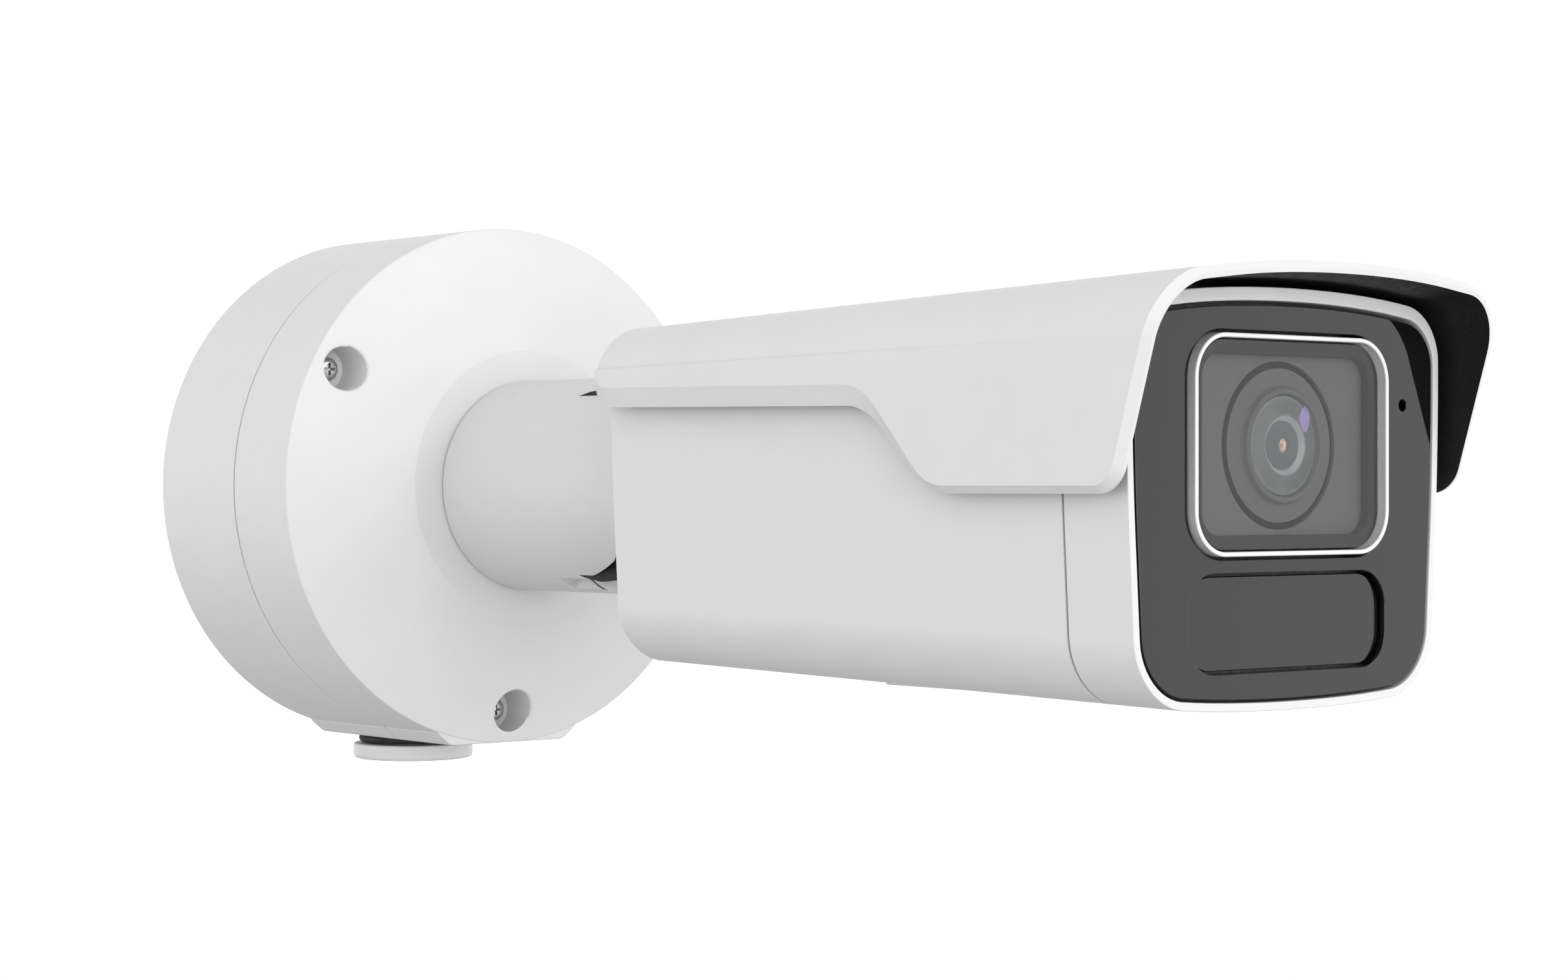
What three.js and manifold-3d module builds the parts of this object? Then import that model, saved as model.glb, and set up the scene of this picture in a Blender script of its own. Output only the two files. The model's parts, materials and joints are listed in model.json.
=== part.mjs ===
// Bullet security camera with a motorised zoom lens, a sliding sunshield, a three-axis arm
// and a round junction box. Millimetres, +Z up. The origin is the centre of the junction
// box's flat back face, which lies on the wall; +Y points into the wall, the lens looks
// along -Y, and +X is on the right hand of somebody who faces the wall.

import * as THREE from 'three';
import { mergeVertices } from 'three/addons/utils/BufferGeometryUtils.js';
import Module from 'manifold-3d';

const wasm = await Module();
wasm.setup();

// ---------------------------------------------------------------- driving dimensions

const GAP = 0.3; // clearance between neighbouring pieces

const BOX_RADIUS = 65;
const BOX_SEGMENTS = 40;
const BOX_WALL = 4.5;
const BOX_BACK = 3.5;
const BOX_PARTING = -35.7; // plane between the rear shell and the front shell
const BOX_RIM = -60.5; // where the front shell's side turns into its cone
const BOX_FACE = -69.3; // flat ring round the arm
const FACE_RADIUS = 33.9;
const FOOT_LEVEL = -65;
const FOOT_HALF = 17.3;
const COVER_SCREW_PITCH = 57;
const COVER_SCREW_ANGLES = [150, 270, 30];

const CABLE_HOLE_Z = 28;
const CABLE_HOLE_RADIUS = 12;
const PLUG_Y = -16.7;
const PLUG_RADIUS = 15.6;

const ARM_RADIUS = 26.15;
const ARM_BORE = 20;
const SPIGOT_RADIUS = 19.9;
const TILT_Y = -120; // tilt axis, along X at Z = 0
const BARREL_RADIUS = 25.8;
const BARREL_HALF = 13;
const FORK_END = -109.5; // where the slot between the fork's cheeks begins
const SWIVEL_Z = 3.8; // axis on which the camera rotates, along Y
const NECK_RADIUS = 12.4;
const SWIVEL_RADIUS = 15;

const HOUSING_REAR = -162;
const HOUSING_SEAM = -302.5;
const HOUSING_FRONT = -319.5;
const HOUSING_WALL = 2.5;
const PANEL_FACE = -319.4;

const HOOD_REAR = -164;
const HOOD_HALF = 49.6;
const HOOD_WALL = 2.2;
const HOOD_TOP_REAR = 37.2;
const HOOD_TOP_FRONT = 42.2;
const HOOD_FRONT = -334.2;

const LENS_Z = 7.65; // optical axis, along Y at X = 0
const LENS_FACE = -318.5;
const TUBE_FRONT = -300;
const TUBE_REAR = -252;
const DRIVE_OFFSET = 12.5; // distance of guide rods and lead screws from the optical axis

// ---------------------------------------------------------------- finishes

const finish = (color, roughness, metalness) =>
  new THREE.MeshStandardMaterial({ color, roughness, metalness });

const WHITE = () => finish(0xe4e4e4, 0.5, 0.1);
const RUBBER = () => finish(0x1b1c1d, 0.85, 0);
const DARK = () => finish(0x3a3d3d, 0.25, 0);
const GREY = () => finish(0x6a6c6c, 0.6, 0);
const STEEL = () => finish(0xb9bcbe, 0.3, 0.9);
const ALLOY = () => finish(0x9a9ea0, 0.45, 0.8);
const GLASS = () => finish(0x20242a, 0.05, 0);
const CIRCUIT = () => finish(0x1d5a38, 0.6, 0);
const BLACK_PLASTIC = () => finish(0x141516, 0.55, 0);

// ---------------------------------------------------------------- solids

// A closed three.js geometry as a manifold solid with its faces pointing out.
function solid(geometry) {
  const bare = geometry.clone();
  bare.deleteAttribute('normal');
  bare.deleteAttribute('uv');
  const merged = mergeVertices(bare, 1e-4);
  const points = merged.attributes.position.array;
  const corner = (i) => new THREE.Vector3().fromArray(points, 3 * i);
  const faces = [];
  let volume = 0;
  for (let i = 0; i < merged.index.count; i += 3) {
    const [a, b, c] = merged.index.array.slice(i, i + 3);
    if (a === b || b === c || a === c) continue;
    faces.push([a, b, c]);
    volume += corner(a).dot(corner(b).cross(corner(c)));
  }
  const outward = volume > 0 ? faces : faces.map(([a, b, c]) => [a, c, b]);
  return new wasm.Manifold(new wasm.Mesh({
    numProp: 3,
    vertProperties: new Float32Array(points),
    triVerts: new Uint32Array(outward.flat()),
  }));
}

// Basis that lays an extruded outline across the named axis.
const LAY = {
  x: new THREE.Matrix4().makeBasis(
    new THREE.Vector3(0, 1, 0), new THREE.Vector3(0, 0, 1), new THREE.Vector3(1, 0, 0)),
  y: new THREE.Matrix4().makeBasis(
    new THREE.Vector3(1, 0, 0), new THREE.Vector3(0, 0, 1), new THREE.Vector3(0, -1, 0)),
  z: new THREE.Matrix4(),
};

// An outline extruded from low to high along an axis. The outline's own axes are (y, z)
// across x, (x, z) across y and (x, y) across z.
function extruded(outline, axis, low, high, { curveSegments = 4, shape } = {}) {
  const geometry = new THREE.ExtrudeGeometry(outline, {
    depth: high - low, bevelEnabled: false, steps: 1, curveSegments,
  });
  geometry.applyMatrix4(LAY[axis]);
  const start = axis === 'y' ? high : low;
  geometry.translate(...['x', 'y', 'z'].map((name) => (name === axis ? start : 0)));
  if (shape) reshape(geometry, shape);
  return solid(geometry);
}

// Moves every point of a geometry to where the function says.
function reshape(geometry, move) {
  const position = geometry.attributes.position;
  for (let i = 0; i < position.count; i++) {
    position.setXYZ(i, ...move(position.getX(i), position.getY(i), position.getZ(i)));
  }
}

// A profile of [radius, y] points turned about an axis along Y.
function turned(profile, { x = 0, z = 0, segments = 24 } = {}) {
  const points = profile.map(([radius, y]) => new THREE.Vector2(radius, y));
  const open = profile[0][0] > 0 || profile.at(-1)[0] > 0;
  if (open) points.push(points[0].clone());
  return solid(new THREE.LatheGeometry(points, segments)).translate([x, 0, z]);
}

// A plain cylinder along an axis, through the point [x, y, z] on that axis.
function rod(axis, radius, low, high, [x, y, z], segments = 24) {
  const geometry = new THREE.CylinderGeometry(radius, radius, high - low, segments);
  const middle = (low + high) / 2;
  if (axis === 'x') geometry.rotateZ(Math.PI / 2).translate(middle, y, z);
  if (axis === 'y') geometry.translate(x, middle, z);
  if (axis === 'z') geometry.rotateX(Math.PI / 2).translate(x, y, middle);
  return solid(geometry);
}

function block([x0, x1], [y0, y1], [z0, z1]) {
  const geometry = new THREE.BoxGeometry(x1 - x0, y1 - y0, z1 - z0);
  geometry.translate((x0 + x1) / 2, (y0 + y1) / 2, (z0 + z1) / 2);
  return solid(geometry);
}

const joined = (first, ...others) => others.reduce((sum, other) => sum.add(other), first);
const cut = (first, ...others) => others.reduce((rest, other) => rest.subtract(other), first);

function roundedRectangle(half, low, high, radius) {
  const shape = new THREE.Shape();
  shape.absarc(half - radius, high - radius, radius, 0, Math.PI / 2);
  shape.absarc(radius - half, high - radius, radius, Math.PI / 2, Math.PI);
  shape.absarc(radius - half, low + radius, radius, Math.PI, 1.5 * Math.PI);
  shape.absarc(half - radius, low + radius, radius, 1.5 * Math.PI, 2 * Math.PI);
  return shape;
}

function polygon(points) {
  return new THREE.Shape(points.map(([u, v]) => new THREE.Vector2(u, v)));
}

// ---------------------------------------------------------------- the assembly

const assembly = new THREE.Group();

function place(name, body, material) {
  const mesh = body.getMesh();
  const geometry = new THREE.BufferGeometry();
  geometry.setAttribute('position', new THREE.BufferAttribute(mesh.vertProperties, 3));
  geometry.setIndex(new THREE.BufferAttribute(mesh.triVerts, 1));
  geometry.computeVertexNormals();
  const part = new THREE.Mesh(geometry, material);
  part.name = name;
  assembly.add(part);
}

const screwPlaces = COVER_SCREW_ANGLES.map((degrees) => {
  const angle = THREE.MathUtils.degToRad(degrees);
  return [COVER_SCREW_PITCH * Math.cos(angle), COVER_SCREW_PITCH * Math.sin(angle)];
});

// ---------------------------------------------------------------- junction box

const boxRound = { segments: BOX_SEGMENTS };
const screwHead = { face: -55, seat: -52.2, radius: 2.9, shank: 2, tip: -24 };

// Flat foot under the round box, between two planes.
function foot(low, high) {
  const top = -50;
  const shoulder = [21.6, -61.4];
  const points = [
    [-shoulder[0], top], [-shoulder[0], shoulder[1]], [-FOOT_HALF, FOOT_LEVEL],
    [FOOT_HALF, FOOT_LEVEL], shoulder, [shoulder[0], top],
  ];
  return extruded(polygon(points), 'y', low, high);
}

function rearShell() {
  const front = BOX_PARTING + GAP;
  const outside = joined(rod('y', BOX_RADIUS, front, 0, [0, 0, 0], BOX_SEGMENTS), foot(front, 0));
  const cavity = turned([
    [0, front - 1], [BOX_RADIUS - BOX_WALL, front - 1],
    [BOX_RADIUS - BOX_WALL, -BOX_BACK], [0, -BOX_BACK],
  ], boxRound);
  const groove = turned([[61.6, front - 1], [63.6, front - 1], [63.6, -33], [61.6, -33]], boxRound);
  let shell = cut(outside, cavity);
  for (const [x, z] of screwPlaces) {
    const boss = rod('y', 5.5, front, -19, [x, 0, z], 12);
    const thread = rod('y', screwHead.shank + GAP, front - 1, -22, [x, 0, z], 10);
    shell = cut(joined(shell, boss), thread);
  }
  const wallHoles = [[-30, -20], [30, -20], [-30, 24], [30, 24]].map(
    ([x, z]) => rod('y', 2.6, -5, 1, [x, 0, z], 10));
  const cableHole = rod('y', CABLE_HOLE_RADIUS, -5, 1, [0, 0, CABLE_HOLE_Z], 20);
  const conduitHole = rod('z', 10.6, -70, -60, [0, PLUG_Y, 0], 20);
  return cut(shell, groove, cableHole, conduitHole, ...wallHoles);
}

function frontShell() {
  const rear = BOX_PARTING - GAP;
  const outside = turned([
    [0, rear], [BOX_RADIUS, rear], [BOX_RADIUS, BOX_RIM + 0.7], [BOX_RADIUS - 0.6, BOX_RIM],
    [FACE_RADIUS, BOX_FACE], [0, BOX_FACE],
  ], boxRound);
  const inner = BOX_RADIUS - BOX_WALL;
  const cavity = turned([
    [0, rear + 1], [inner, rear + 1], [inner, BOX_RIM + 3.8],
    [FACE_RADIUS, BOX_FACE + 3.8], [0, BOX_FACE + 3.8],
  ], boxRound);
  let shell = cut(joined(outside, foot(BOX_RIM + 0.4, rear)), cavity);
  for (const [x, z] of screwPlaces) {
    const column = rod('y', 8, BOX_FACE, rear - 4, [x, 0, z], 16);
    shell = joined(shell, column.intersect(outside));
  }
  for (const [x, z] of screwPlaces) {
    const mouth = turned([[0, -66], [7.9, -66], [5.33, -61.4], [0, -61.4]], { x, z, segments: 16 });
    const recess = rod('y', 5.33, -66, screwHead.seat, [x, 0, z], 16);
    const hole = rod('y', screwHead.shank + GAP, -66, -30, [x, 0, z], 10);
    shell = cut(shell, mouth, recess, hole);
  }
  return cut(shell, rod('y', SPIGOT_RADIUS + GAP, -72, -60, [0, 0, 0], 28));
}

function coverScrew([x, z]) {
  const { face, seat, radius, shank, tip } = screwHead;
  const body = turned([
    [0, face], [radius - 0.4, face], [radius, face + 0.5], [radius, seat - GAP],
    [shank, seat - GAP], [shank, tip], [0, tip],
  ], { x, z, segments: 12 });
  const arm = [1.7, 0.35];
  const slot = (u, v) => block([x - u, x + u], [face - 1, face + 1.2], [z - v, z + v]);
  return cut(body, slot(arm[0], arm[1]), slot(arm[1], arm[0]));
}

function conduitPlug() {
  const profile = [
    [0, 0], [PLUG_RADIUS - 1.2, 0], [PLUG_RADIUS, 1.2], [PLUG_RADIUS, 4],
    [10.2, 4], [10.2, 10.9], [8.2, 10.9], [8.2, 3], [0, 3],
  ].map(([radius, height]) => new THREE.Vector2(radius, height));
  const geometry = new THREE.LatheGeometry(profile, 24);
  geometry.rotateX(Math.PI / 2).translate(0, PLUG_Y, -71.5);
  return solid(geometry);
}

function plugRing() {
  const profile = [[10.9, 0], [14.2, 0], [14.2, 1.8], [10.9, 1.8], [10.9, 0]].map(
    ([radius, height]) => new THREE.Vector2(radius, height));
  const geometry = new THREE.LatheGeometry(profile, 24);
  geometry.rotateX(Math.PI / 2).translate(0, PLUG_Y, FOOT_LEVEL - GAP - 1.8);
  return solid(geometry);
}

// Rubber bush in the back plate's cable hole, with a hole for the cable.
function cableGrommet() {
  const hold = CABLE_HOLE_RADIUS - GAP;
  return turned([
    [4, -7], [9, -7], [14.5, -5.6], [14.5, -BOX_BACK - GAP], [hold, -BOX_BACK - GAP],
    [hold, -0.6], [4, -0.6],
  ], { z: CABLE_HOLE_Z, segments: 20 });
}

place('rear_shell', rearShell(), WHITE());
place('front_shell', frontShell(), WHITE());
place('box_gasket', turned([
  [61.9, BOX_PARTING], [63.3, BOX_PARTING], [63.3, -33.3], [61.9, -33.3],
], boxRound), RUBBER());
screwPlaces.forEach((spot, i) => place(`cover_screw_${i + 1}`, coverScrew(spot), STEEL()));
place('conduit_plug', conduitPlug(), WHITE());
place('plug_o_ring', plugRing(), RUBBER());
place('cable_grommet', cableGrommet(), RUBBER());

// ---------------------------------------------------------------- arm and tilt fork

const discRecess = { radius: 23, depth: 1.9 };
const boltSize = { shank: 4, head: 7, headInner: 20.3, headOuter: 24.5, end: -19 };
const tiltPoint = [0, TILT_Y, 0];

function armBody() {
  const root = BOX_FACE - GAP;
  const tube = rod('y', ARM_RADIUS, TILT_Y - ARM_RADIUS, root, [0, 0, 0], 36);
  const side = new THREE.Shape();
  side.moveTo(root, -ARM_RADIUS - 1);
  side.lineTo(root, ARM_RADIUS + 1);
  side.lineTo(TILT_Y, ARM_RADIUS + 1);
  side.absarc(TILT_Y, 0, ARM_RADIUS, Math.PI / 2, 1.5 * Math.PI);
  side.lineTo(TILT_Y, -ARM_RADIUS - 1);
  const rounded = tube.intersect(
    extruded(side, 'x', -ARM_RADIUS - 1, ARM_RADIUS + 1, { curveSegments: 14 }));
  const spigot = rod('y', SPIGOT_RADIUS, root - 1, -58, [0, 0, 0], 28);
  const bore = rod('y', ARM_BORE - 2.5, root - 4, -57, [0, 0, 0], 28);
  const hollow = rod('y', ARM_BORE, -104, root - 3, [0, 0, 0], 28);
  const half = BARREL_HALF + GAP;
  const slot = block([-half, half], [TILT_Y - 30, FORK_END], [-30, 30]);
  const swing = rod('x', BARREL_RADIUS + GAP, -half, half, tiltPoint, 32);
  const recesses = rod('x', discRecess.radius, -half - discRecess.depth,
    half + discRecess.depth, tiltPoint, 28);
  // Below the axis the slot flares towards the front, to clear the neck when it hangs down.
  const flare = polygon([
    [half - 1, FORK_END + 0.5], [half, FORK_END + 0.5], [15.3, -117.8], [17.5, -125],
    [19.4, -131], [24, -140], [24, -150], [half - 1, -150],
  ]);
  const flareRight = extruded(flare, 'z', -30, -10);
  const hole = rod('x', boltSize.shank + GAP, boltSize.end - GAP, 30, tiltPoint, 12);
  const counterbore = rod('x', boltSize.head + GAP, boltSize.headInner - GAP, 30, tiltPoint, 20);
  return cut(joined(rounded, spigot), bore, hollow, slot, swing, recesses, flareRight,
    flareRight.mirror([1, 0, 0]), hole, counterbore);
}

function frictionDisc(sign) {
  const inner = BARREL_HALF + GAP;
  const outer = inner + discRecess.depth - GAP;
  const [low, high] = sign > 0 ? [inner, outer] : [-outer, -inner];
  return cut(rod('x', discRecess.radius - GAP, low, high, tiltPoint, 28),
    rod('x', boltSize.shank + GAP, low - 1, high + 1, tiltPoint, 12));
}

function tiltBolt() {
  const { shank, head, headInner, headOuter, end } = boltSize;
  const socket = rod('x', 3.2, headOuter - 2.5, headOuter + 1, tiltPoint, 6);
  return cut(joined(rod('x', shank, end, headInner + 1, tiltPoint, 12),
    rod('x', head, headInner, headOuter, tiltPoint, 20)), socket);
}

// The swivel knuckle: a barrel between the cheeks, a hollow neck, and the spigot on which
// the camera rotates.
function knuckle() {
  const collar = TILT_Y - 29;
  const tail = HOUSING_REAR - 9;
  const swivel = [0, 0, SWIVEL_Z];
  const half = BARREL_HALF;
  const body = joined(
    rod('x', BARREL_RADIUS, -half, half, tiltPoint, 32),
    rod('y', NECK_RADIUS, collar - 1, TILT_Y, swivel, 24),
    turned([[0, collar - 3.2], [16.3, collar - 3.2], [17.5, collar - 2.4], [17.5, collar - 0.8],
      [16.7, collar], [0, collar]], { z: SWIVEL_Z, segments: 28 }),
    rod('y', SWIVEL_RADIUS, tail, collar - 3, swivel, 24));
  const cableWay = block([-9, 9], [TILT_Y - 12, TILT_Y + 30], [5.5, 14]);
  const neckBore = rod('y', 9, tail - 1, TILT_Y - 9, swivel, 20);
  const boltHole = rod('x', boltSize.shank + GAP, -half - 1, half + 1, tiltPoint, 12);
  return cut(body, cableWay, neckBore, boltHole);
}

place('arm', armBody(), WHITE());
place('pan_washer', turned([
  [20.3, -65.2], [27, -65.2], [27, -63.8], [20.3, -63.8],
]), BLACK_PLASTIC());
place('pan_ring', turned([
  [20.2, -63.5], [26, -63.5], [26, -60.2], [25, -59.2], [20.2, -59.2],
]), STEEL());
place('friction_disc_left', frictionDisc(-1), RUBBER());
place('friction_disc_right', frictionDisc(1), RUBBER());
place('tilt_bolt', tiltBolt(), STEEL());
place('knuckle', knuckle(), WHITE());
place('swivel_ring', turned([
  [15.3, -169.4], [20.5, -169.4], [20.5, -166.6], [15.3, -166.6],
], { z: SWIVEL_Z }), STEEL());

// ---------------------------------------------------------------- camera housing

const FRONT_HALF = 44.6;
const FRONT_LOW_HALF = 42.6;
const FRONT_TOP = 38;
const FRONT_BOTTOM = -42.8;
const SEAL_INSET = 1;
const REAR_SCALE = { width: 0.972, top: 0.868, bottom: 0.938 };

// Outline of the camera body at its front end, drawn in by an inset: an arched top, sides
// that lean in towards the bottom, and round lower corners.
function bodyOutline(inset = 0, topInset = inset) {
  const upper = FRONT_HALF - inset;
  const lower = FRONT_LOW_HALF - inset;
  const top = FRONT_TOP - topInset;
  const bottom = FRONT_BOTTOM + inset;
  const shoulder = top - 2.6;
  const corner = Math.max(11.5 - inset, 2);
  const shape = new THREE.Shape();
  shape.moveTo(-35, shoulder);
  shape.quadraticCurveTo(0, 2 * top - shoulder, 35, shoulder);
  shape.quadraticCurveTo(upper - 0.6, shoulder - 1.4, upper, shoulder - 10);
  shape.lineTo(upper, 6);
  shape.lineTo(lower, bottom + corner + 1);
  shape.quadraticCurveTo(lower - 1, bottom + 1.8, lower - corner - 2, bottom + 0.6);
  shape.quadraticCurveTo(0, bottom - 0.5, -(lower - corner - 2), bottom + 0.6);
  shape.quadraticCurveTo(1 - lower, bottom + 1.8, -lower, bottom + corner + 1);
  shape.lineTo(-upper, 6);
  shape.lineTo(-upper, shoulder - 10);
  shape.quadraticCurveTo(0.6 - upper, shoulder - 1.4, -35, shoulder);
  return shape;
}

// The body is slightly smaller at its rear end.
function taper(x, y, z) {
  const t = (y - HOUSING_FRONT) / (HOUSING_REAR - HOUSING_FRONT);
  const toward = (scale) => 1 + (scale - 1) * t;
  return [x * toward(REAR_SCALE.width), y,
    z * toward(z > 0 ? REAR_SCALE.top : REAR_SCALE.bottom)];
}

const bodyPiece = (inset, low, high) =>
  extruded(bodyOutline(inset), 'y', low, high, { shape: taper });

const hatch = { half: 17, rear: -222, front: -262, opening: 12, level: -41.9 };
const hoodScrewY = [-205, -282];
const hoodTopAt = (y) => HOOD_TOP_REAR
  + (HOOD_TOP_FRONT - HOOD_TOP_REAR) * (y - HOOD_REAR) / (HOOD_FRONT - HOOD_REAR);
const hoodGroove = { half: 4.5, depth: 1.2 }; // lets the screw heads sink into the roof
const hoodScrewSeat = (y) => hoodTopAt(y) - 0.7;

function mainHousing() {
  const rearFace = HOUSING_REAR;
  const seam = HOUSING_SEAM + GAP;
  const bossOutline = roundedRectangle(35.9, SWIVEL_Z - 20.2, SWIVEL_Z + 20.2, 20.19);
  const boss = extruded(bossOutline, 'y', rearFace - 1, TILT_Y - 32.5, { curveSegments: 8 });
  const cavity = bodyPiece(HOUSING_WALL, seam - 1, rearFace - 3);
  const bore = rod('y', SWIVEL_RADIUS + GAP, rearFace - 5, rearFace + 12, [0, 0, SWIVEL_Z], 24);
  const hatchFrame = block([-20, 20], [hatch.front - 4, hatch.rear + 4], [-40.6, -36.6]);
  const hatchRecess = block([-hatch.half - GAP, hatch.half + GAP],
    [hatch.front - GAP, hatch.rear + GAP], [-50, -39]);
  const hatchWay = block([-hatch.opening, hatch.opening],
    [hatch.front + 8, hatch.rear - 8], [-50, -30]);
  const hatchThreads = [hatch.front + 3.5, hatch.rear - 3.5].map(
    (y) => rod('z', 1.5 + GAP, -45, -37.4, [0, y, 0], 12));
  const sealSeat = bodyPiece(SEAL_INSET, seam - 1, HOUSING_SEAM + 1.6);
  const shell = cut(bodyPiece(0, seam, rearFace), cavity, sealSeat);
  const bosses = hoodScrewY.map((y) => rod('z', 4.5, hoodTopAt(y) - 11,
    hoodTopAt(y) - HOOD_WALL - 1.2, [0, y, 0], 20));
  const threads = hoodScrewY.map((y) => rod('z', 1.8 + GAP, hoodTopAt(y) - 9, 50, [0, y, 0], 12));
  return cut(joined(shell, boss, hatchFrame, ...bosses), bore, hatchRecess, hatchWay,
    ...hatchThreads, ...threads);
}

const windowOutline = (grow) =>
  roundedRectangle(27.7 + grow, -13.3 - grow, 28.6 + grow, 8.5 + grow);
const irOutline = (grow) =>
  roundedRectangle(28.1 + grow, -35.3 - grow, -16.5 + grow, 7 + grow);
const microphoneSpot = [33.6, 0, 15.8];
const panelRear = PANEL_FACE + 3.2;
const pocketFloor = panelRear + 1.5;

function frontFrame() {
  const rim = 1.7;
  const rimTop = 3;
  const lipWall = HOUSING_WALL + 2;
  const pocket = extruded(bodyOutline(rim, rimTop), 'y', HOUSING_FRONT - 1, pocketFloor,
    { shape: taper });
  const lensWay = extruded(windowOutline(-2.2), 'y', -330, -300);
  const irWay = extruded(irOutline(-1.2), 'y', -330, -300);
  const microphoneWay = rod('y', 1.1, -330, -300, microphoneSpot, 12);
  const wall = joined(bodyPiece(0, HOUSING_FRONT, HOUSING_SEAM - GAP),
    bodyPiece(HOUSING_WALL + GAP, HOUSING_SEAM - 1, HOUSING_SEAM + 4));
  return cut(wall, pocket, bodyPiece(lipWall, -311, HOUSING_SEAM + 5), lensWay, irWay,
    microphoneWay);
}

function frontPanel() {
  const plate = extruded(bodyOutline(1.7 + GAP, 3 + GAP), 'y', PANEL_FACE, panelRear,
    { shape: taper });
  return cut(plate, extruded(windowOutline(GAP), 'y', -330, -300),
    extruded(irOutline(0), 'y', -330, -300), rod('y', 1.1, -330, -300, microphoneSpot, 12));
}

const ring = (outer, inner, low, high) =>
  cut(extruded(outer, 'y', low, high), extruded(inner, 'y', low - 1, high + 1));

function serviceHatch() {
  const plate = block([-hatch.half, hatch.half], [hatch.front, hatch.rear],
    [hatch.level, hatch.level + 1.6]);
  const holes = [hatch.front + 3.5, hatch.rear - 3.5].map(
    (y) => rod('z', 1.5 + GAP, -50, -30, [0, y, 0], 12));
  return cut(plate, ...holes);
}

function hatchScrew(y) {
  return joined(rod('z', 1.5, hatch.level - 0.6, -37.8, [0, y, 0], 12),
    rod('z', 2.8, hatch.level - GAP - 1.1, hatch.level - GAP, [0, y, 0], 16));
}

function hatchGasket() {
  const level = hatch.level + 1.6 + GAP;
  return cut(block([-16, 16], [hatch.front + 6.2, hatch.rear - 6.2], [level, level + 0.7]),
    block([-13, 13], [hatch.front + 8, hatch.rear - 8], [level - 1, level + 2]));
}

function hoodScrew(y) {
  const seat = hoodScrewSeat(y);
  const head = rod('z', 4.2, seat, seat + 0.9, [0, y, 0], 20);
  const shank = rod('z', 1.8, hoodTopAt(y) - 8.6, seat + 0.2, [0, y, 0], 16);
  return cut(joined(head, shank), rod('z', 1.3, seat - 0.6, seat + 2, [0, y, 0], 6));
}

place('main_housing', mainHousing(), WHITE());
place('swivel_seal', turned([
  [15.3 + GAP, -165 - GAP - 0.9], [19, -165 - GAP - 0.9], [19, -165 - GAP], [15.3 + GAP, -165 - GAP],
], { z: SWIVEL_Z }), RUBBER());
place('front_frame', frontFrame(), WHITE());
place('front_gasket', cut(bodyPiece(SEAL_INSET + GAP, HOUSING_SEAM, HOUSING_SEAM + 1.3),
  bodyPiece(HOUSING_WALL, -310, -295)), RUBBER());
place('front_panel', frontPanel(), DARK());
place('window_bezel', ring(windowOutline(0), windowOutline(-1.15), -320.9, pocketFloor - GAP),
  WHITE());
place('lens_window', extruded(windowOutline(-1.15 - GAP), 'y', -320.5, -319.3), GLASS());
place('window_frame', ring(windowOutline(-1.15 - GAP), windowOutline(-3.9), -319, -317.1), DARK());
place('lens_mask', cut(extruded(windowOutline(-1.15 - GAP), 'y', -316.8, -316.1),
  rod('y', 16.1, -330, -300, [0, 0, LENS_Z], 28)), GREY());
place('ir_window', joined(extruded(irOutline(-GAP), 'y', -318, -315.5),
  extruded(irOutline(1.2), 'y', panelRear + GAP, pocketFloor - GAP)), DARK());
place('service_hatch', serviceHatch(), WHITE());
place('hatch_gasket', hatchGasket(), RUBBER());
[hatch.front + 3.5, hatch.rear - 3.5].forEach(
  (y, i) => place(`hatch_screw_${i + 1}`, hatchScrew(y), STEEL()));
hoodScrewY.forEach((y, i) => place(`hood_screw_${i + 1}`, hoodScrew(y), STEEL()));

// ---------------------------------------------------------------- infrared lamp, microphone

const irRow = [-17, 0, 17];

function irLed(x) {
  return turned([
    [0, -314.6], [2.4, -314.2], [4.2, -313.2], [5.2, -311.8], [5.2, -311.3], [0, -311.3],
  ], { x, z: -25.9, segments: 14 });
}

place('ir_board', block([-26, 26], [-311, -309.6], [-32.5, -19.3]), CIRCUIT());
irRow.forEach((x, i) => place(`ir_led_${i + 1}`, irLed(x), GLASS()));
place('microphone', rod('y', 2.6, -310.7, -306, microphoneSpot, 16), BLACK_PLASTIC());

// ---------------------------------------------------------------- zoom lens

const lensRound = { z: LENS_Z, segments: 28 };
const lensPoint = (x, z) => [x, 0, LENS_Z + z];
const rods = [-DRIVE_OFFSET, DRIVE_OFFSET];
const zoomPlace = { front: -294, thickness: 5, opening: 8 };
const focusPlace = { front: -269, thickness: 5, opening: 6 };
const rodRadius = 0.9;
const screwRadius = 1.1;

function lensBarrel() {
  const wall = 1.8;
  return turned([
    [9.9, LENS_FACE], [11.5, LENS_FACE], [12.3, -317.4], [14.8, -316.8], [14.8, TUBE_FRONT - 2],
    [19, TUBE_FRONT], [19, TUBE_REAR], [19 - wall, TUBE_REAR], [19 - wall, TUBE_FRONT + wall],
    [13, TUBE_FRONT - 0.5], [13, -312], [9.9, -313.2],
  ], lensRound);
}

function frontElement() {
  return turned([
    [0, -318.9], [4.6, -318.8], [9.6, -318.3], [9.6, -313.4], [6, -314.2], [0, -314.8],
  ], lensRound);
}

// A lens cell that slides on the two guide rods. One lead screw drives it and the other
// passes through with room to spare.
function carriage({ front, thickness, opening }) {
  const rear = front + thickness;
  const cell = turned([
    [opening, front], [16.2, front], [16.2, rear], [opening, rear],
  ], lensRound);
  const holes = rods.flatMap((offset) => [
    rod('y', rodRadius + GAP, front - 1, rear + 1, lensPoint(offset, 0), 8),
    rod('y', screwRadius + GAP, front - 1, rear + 1, lensPoint(0, offset), 8),
  ]);
  return cut(cell, ...holes);
}

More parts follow.
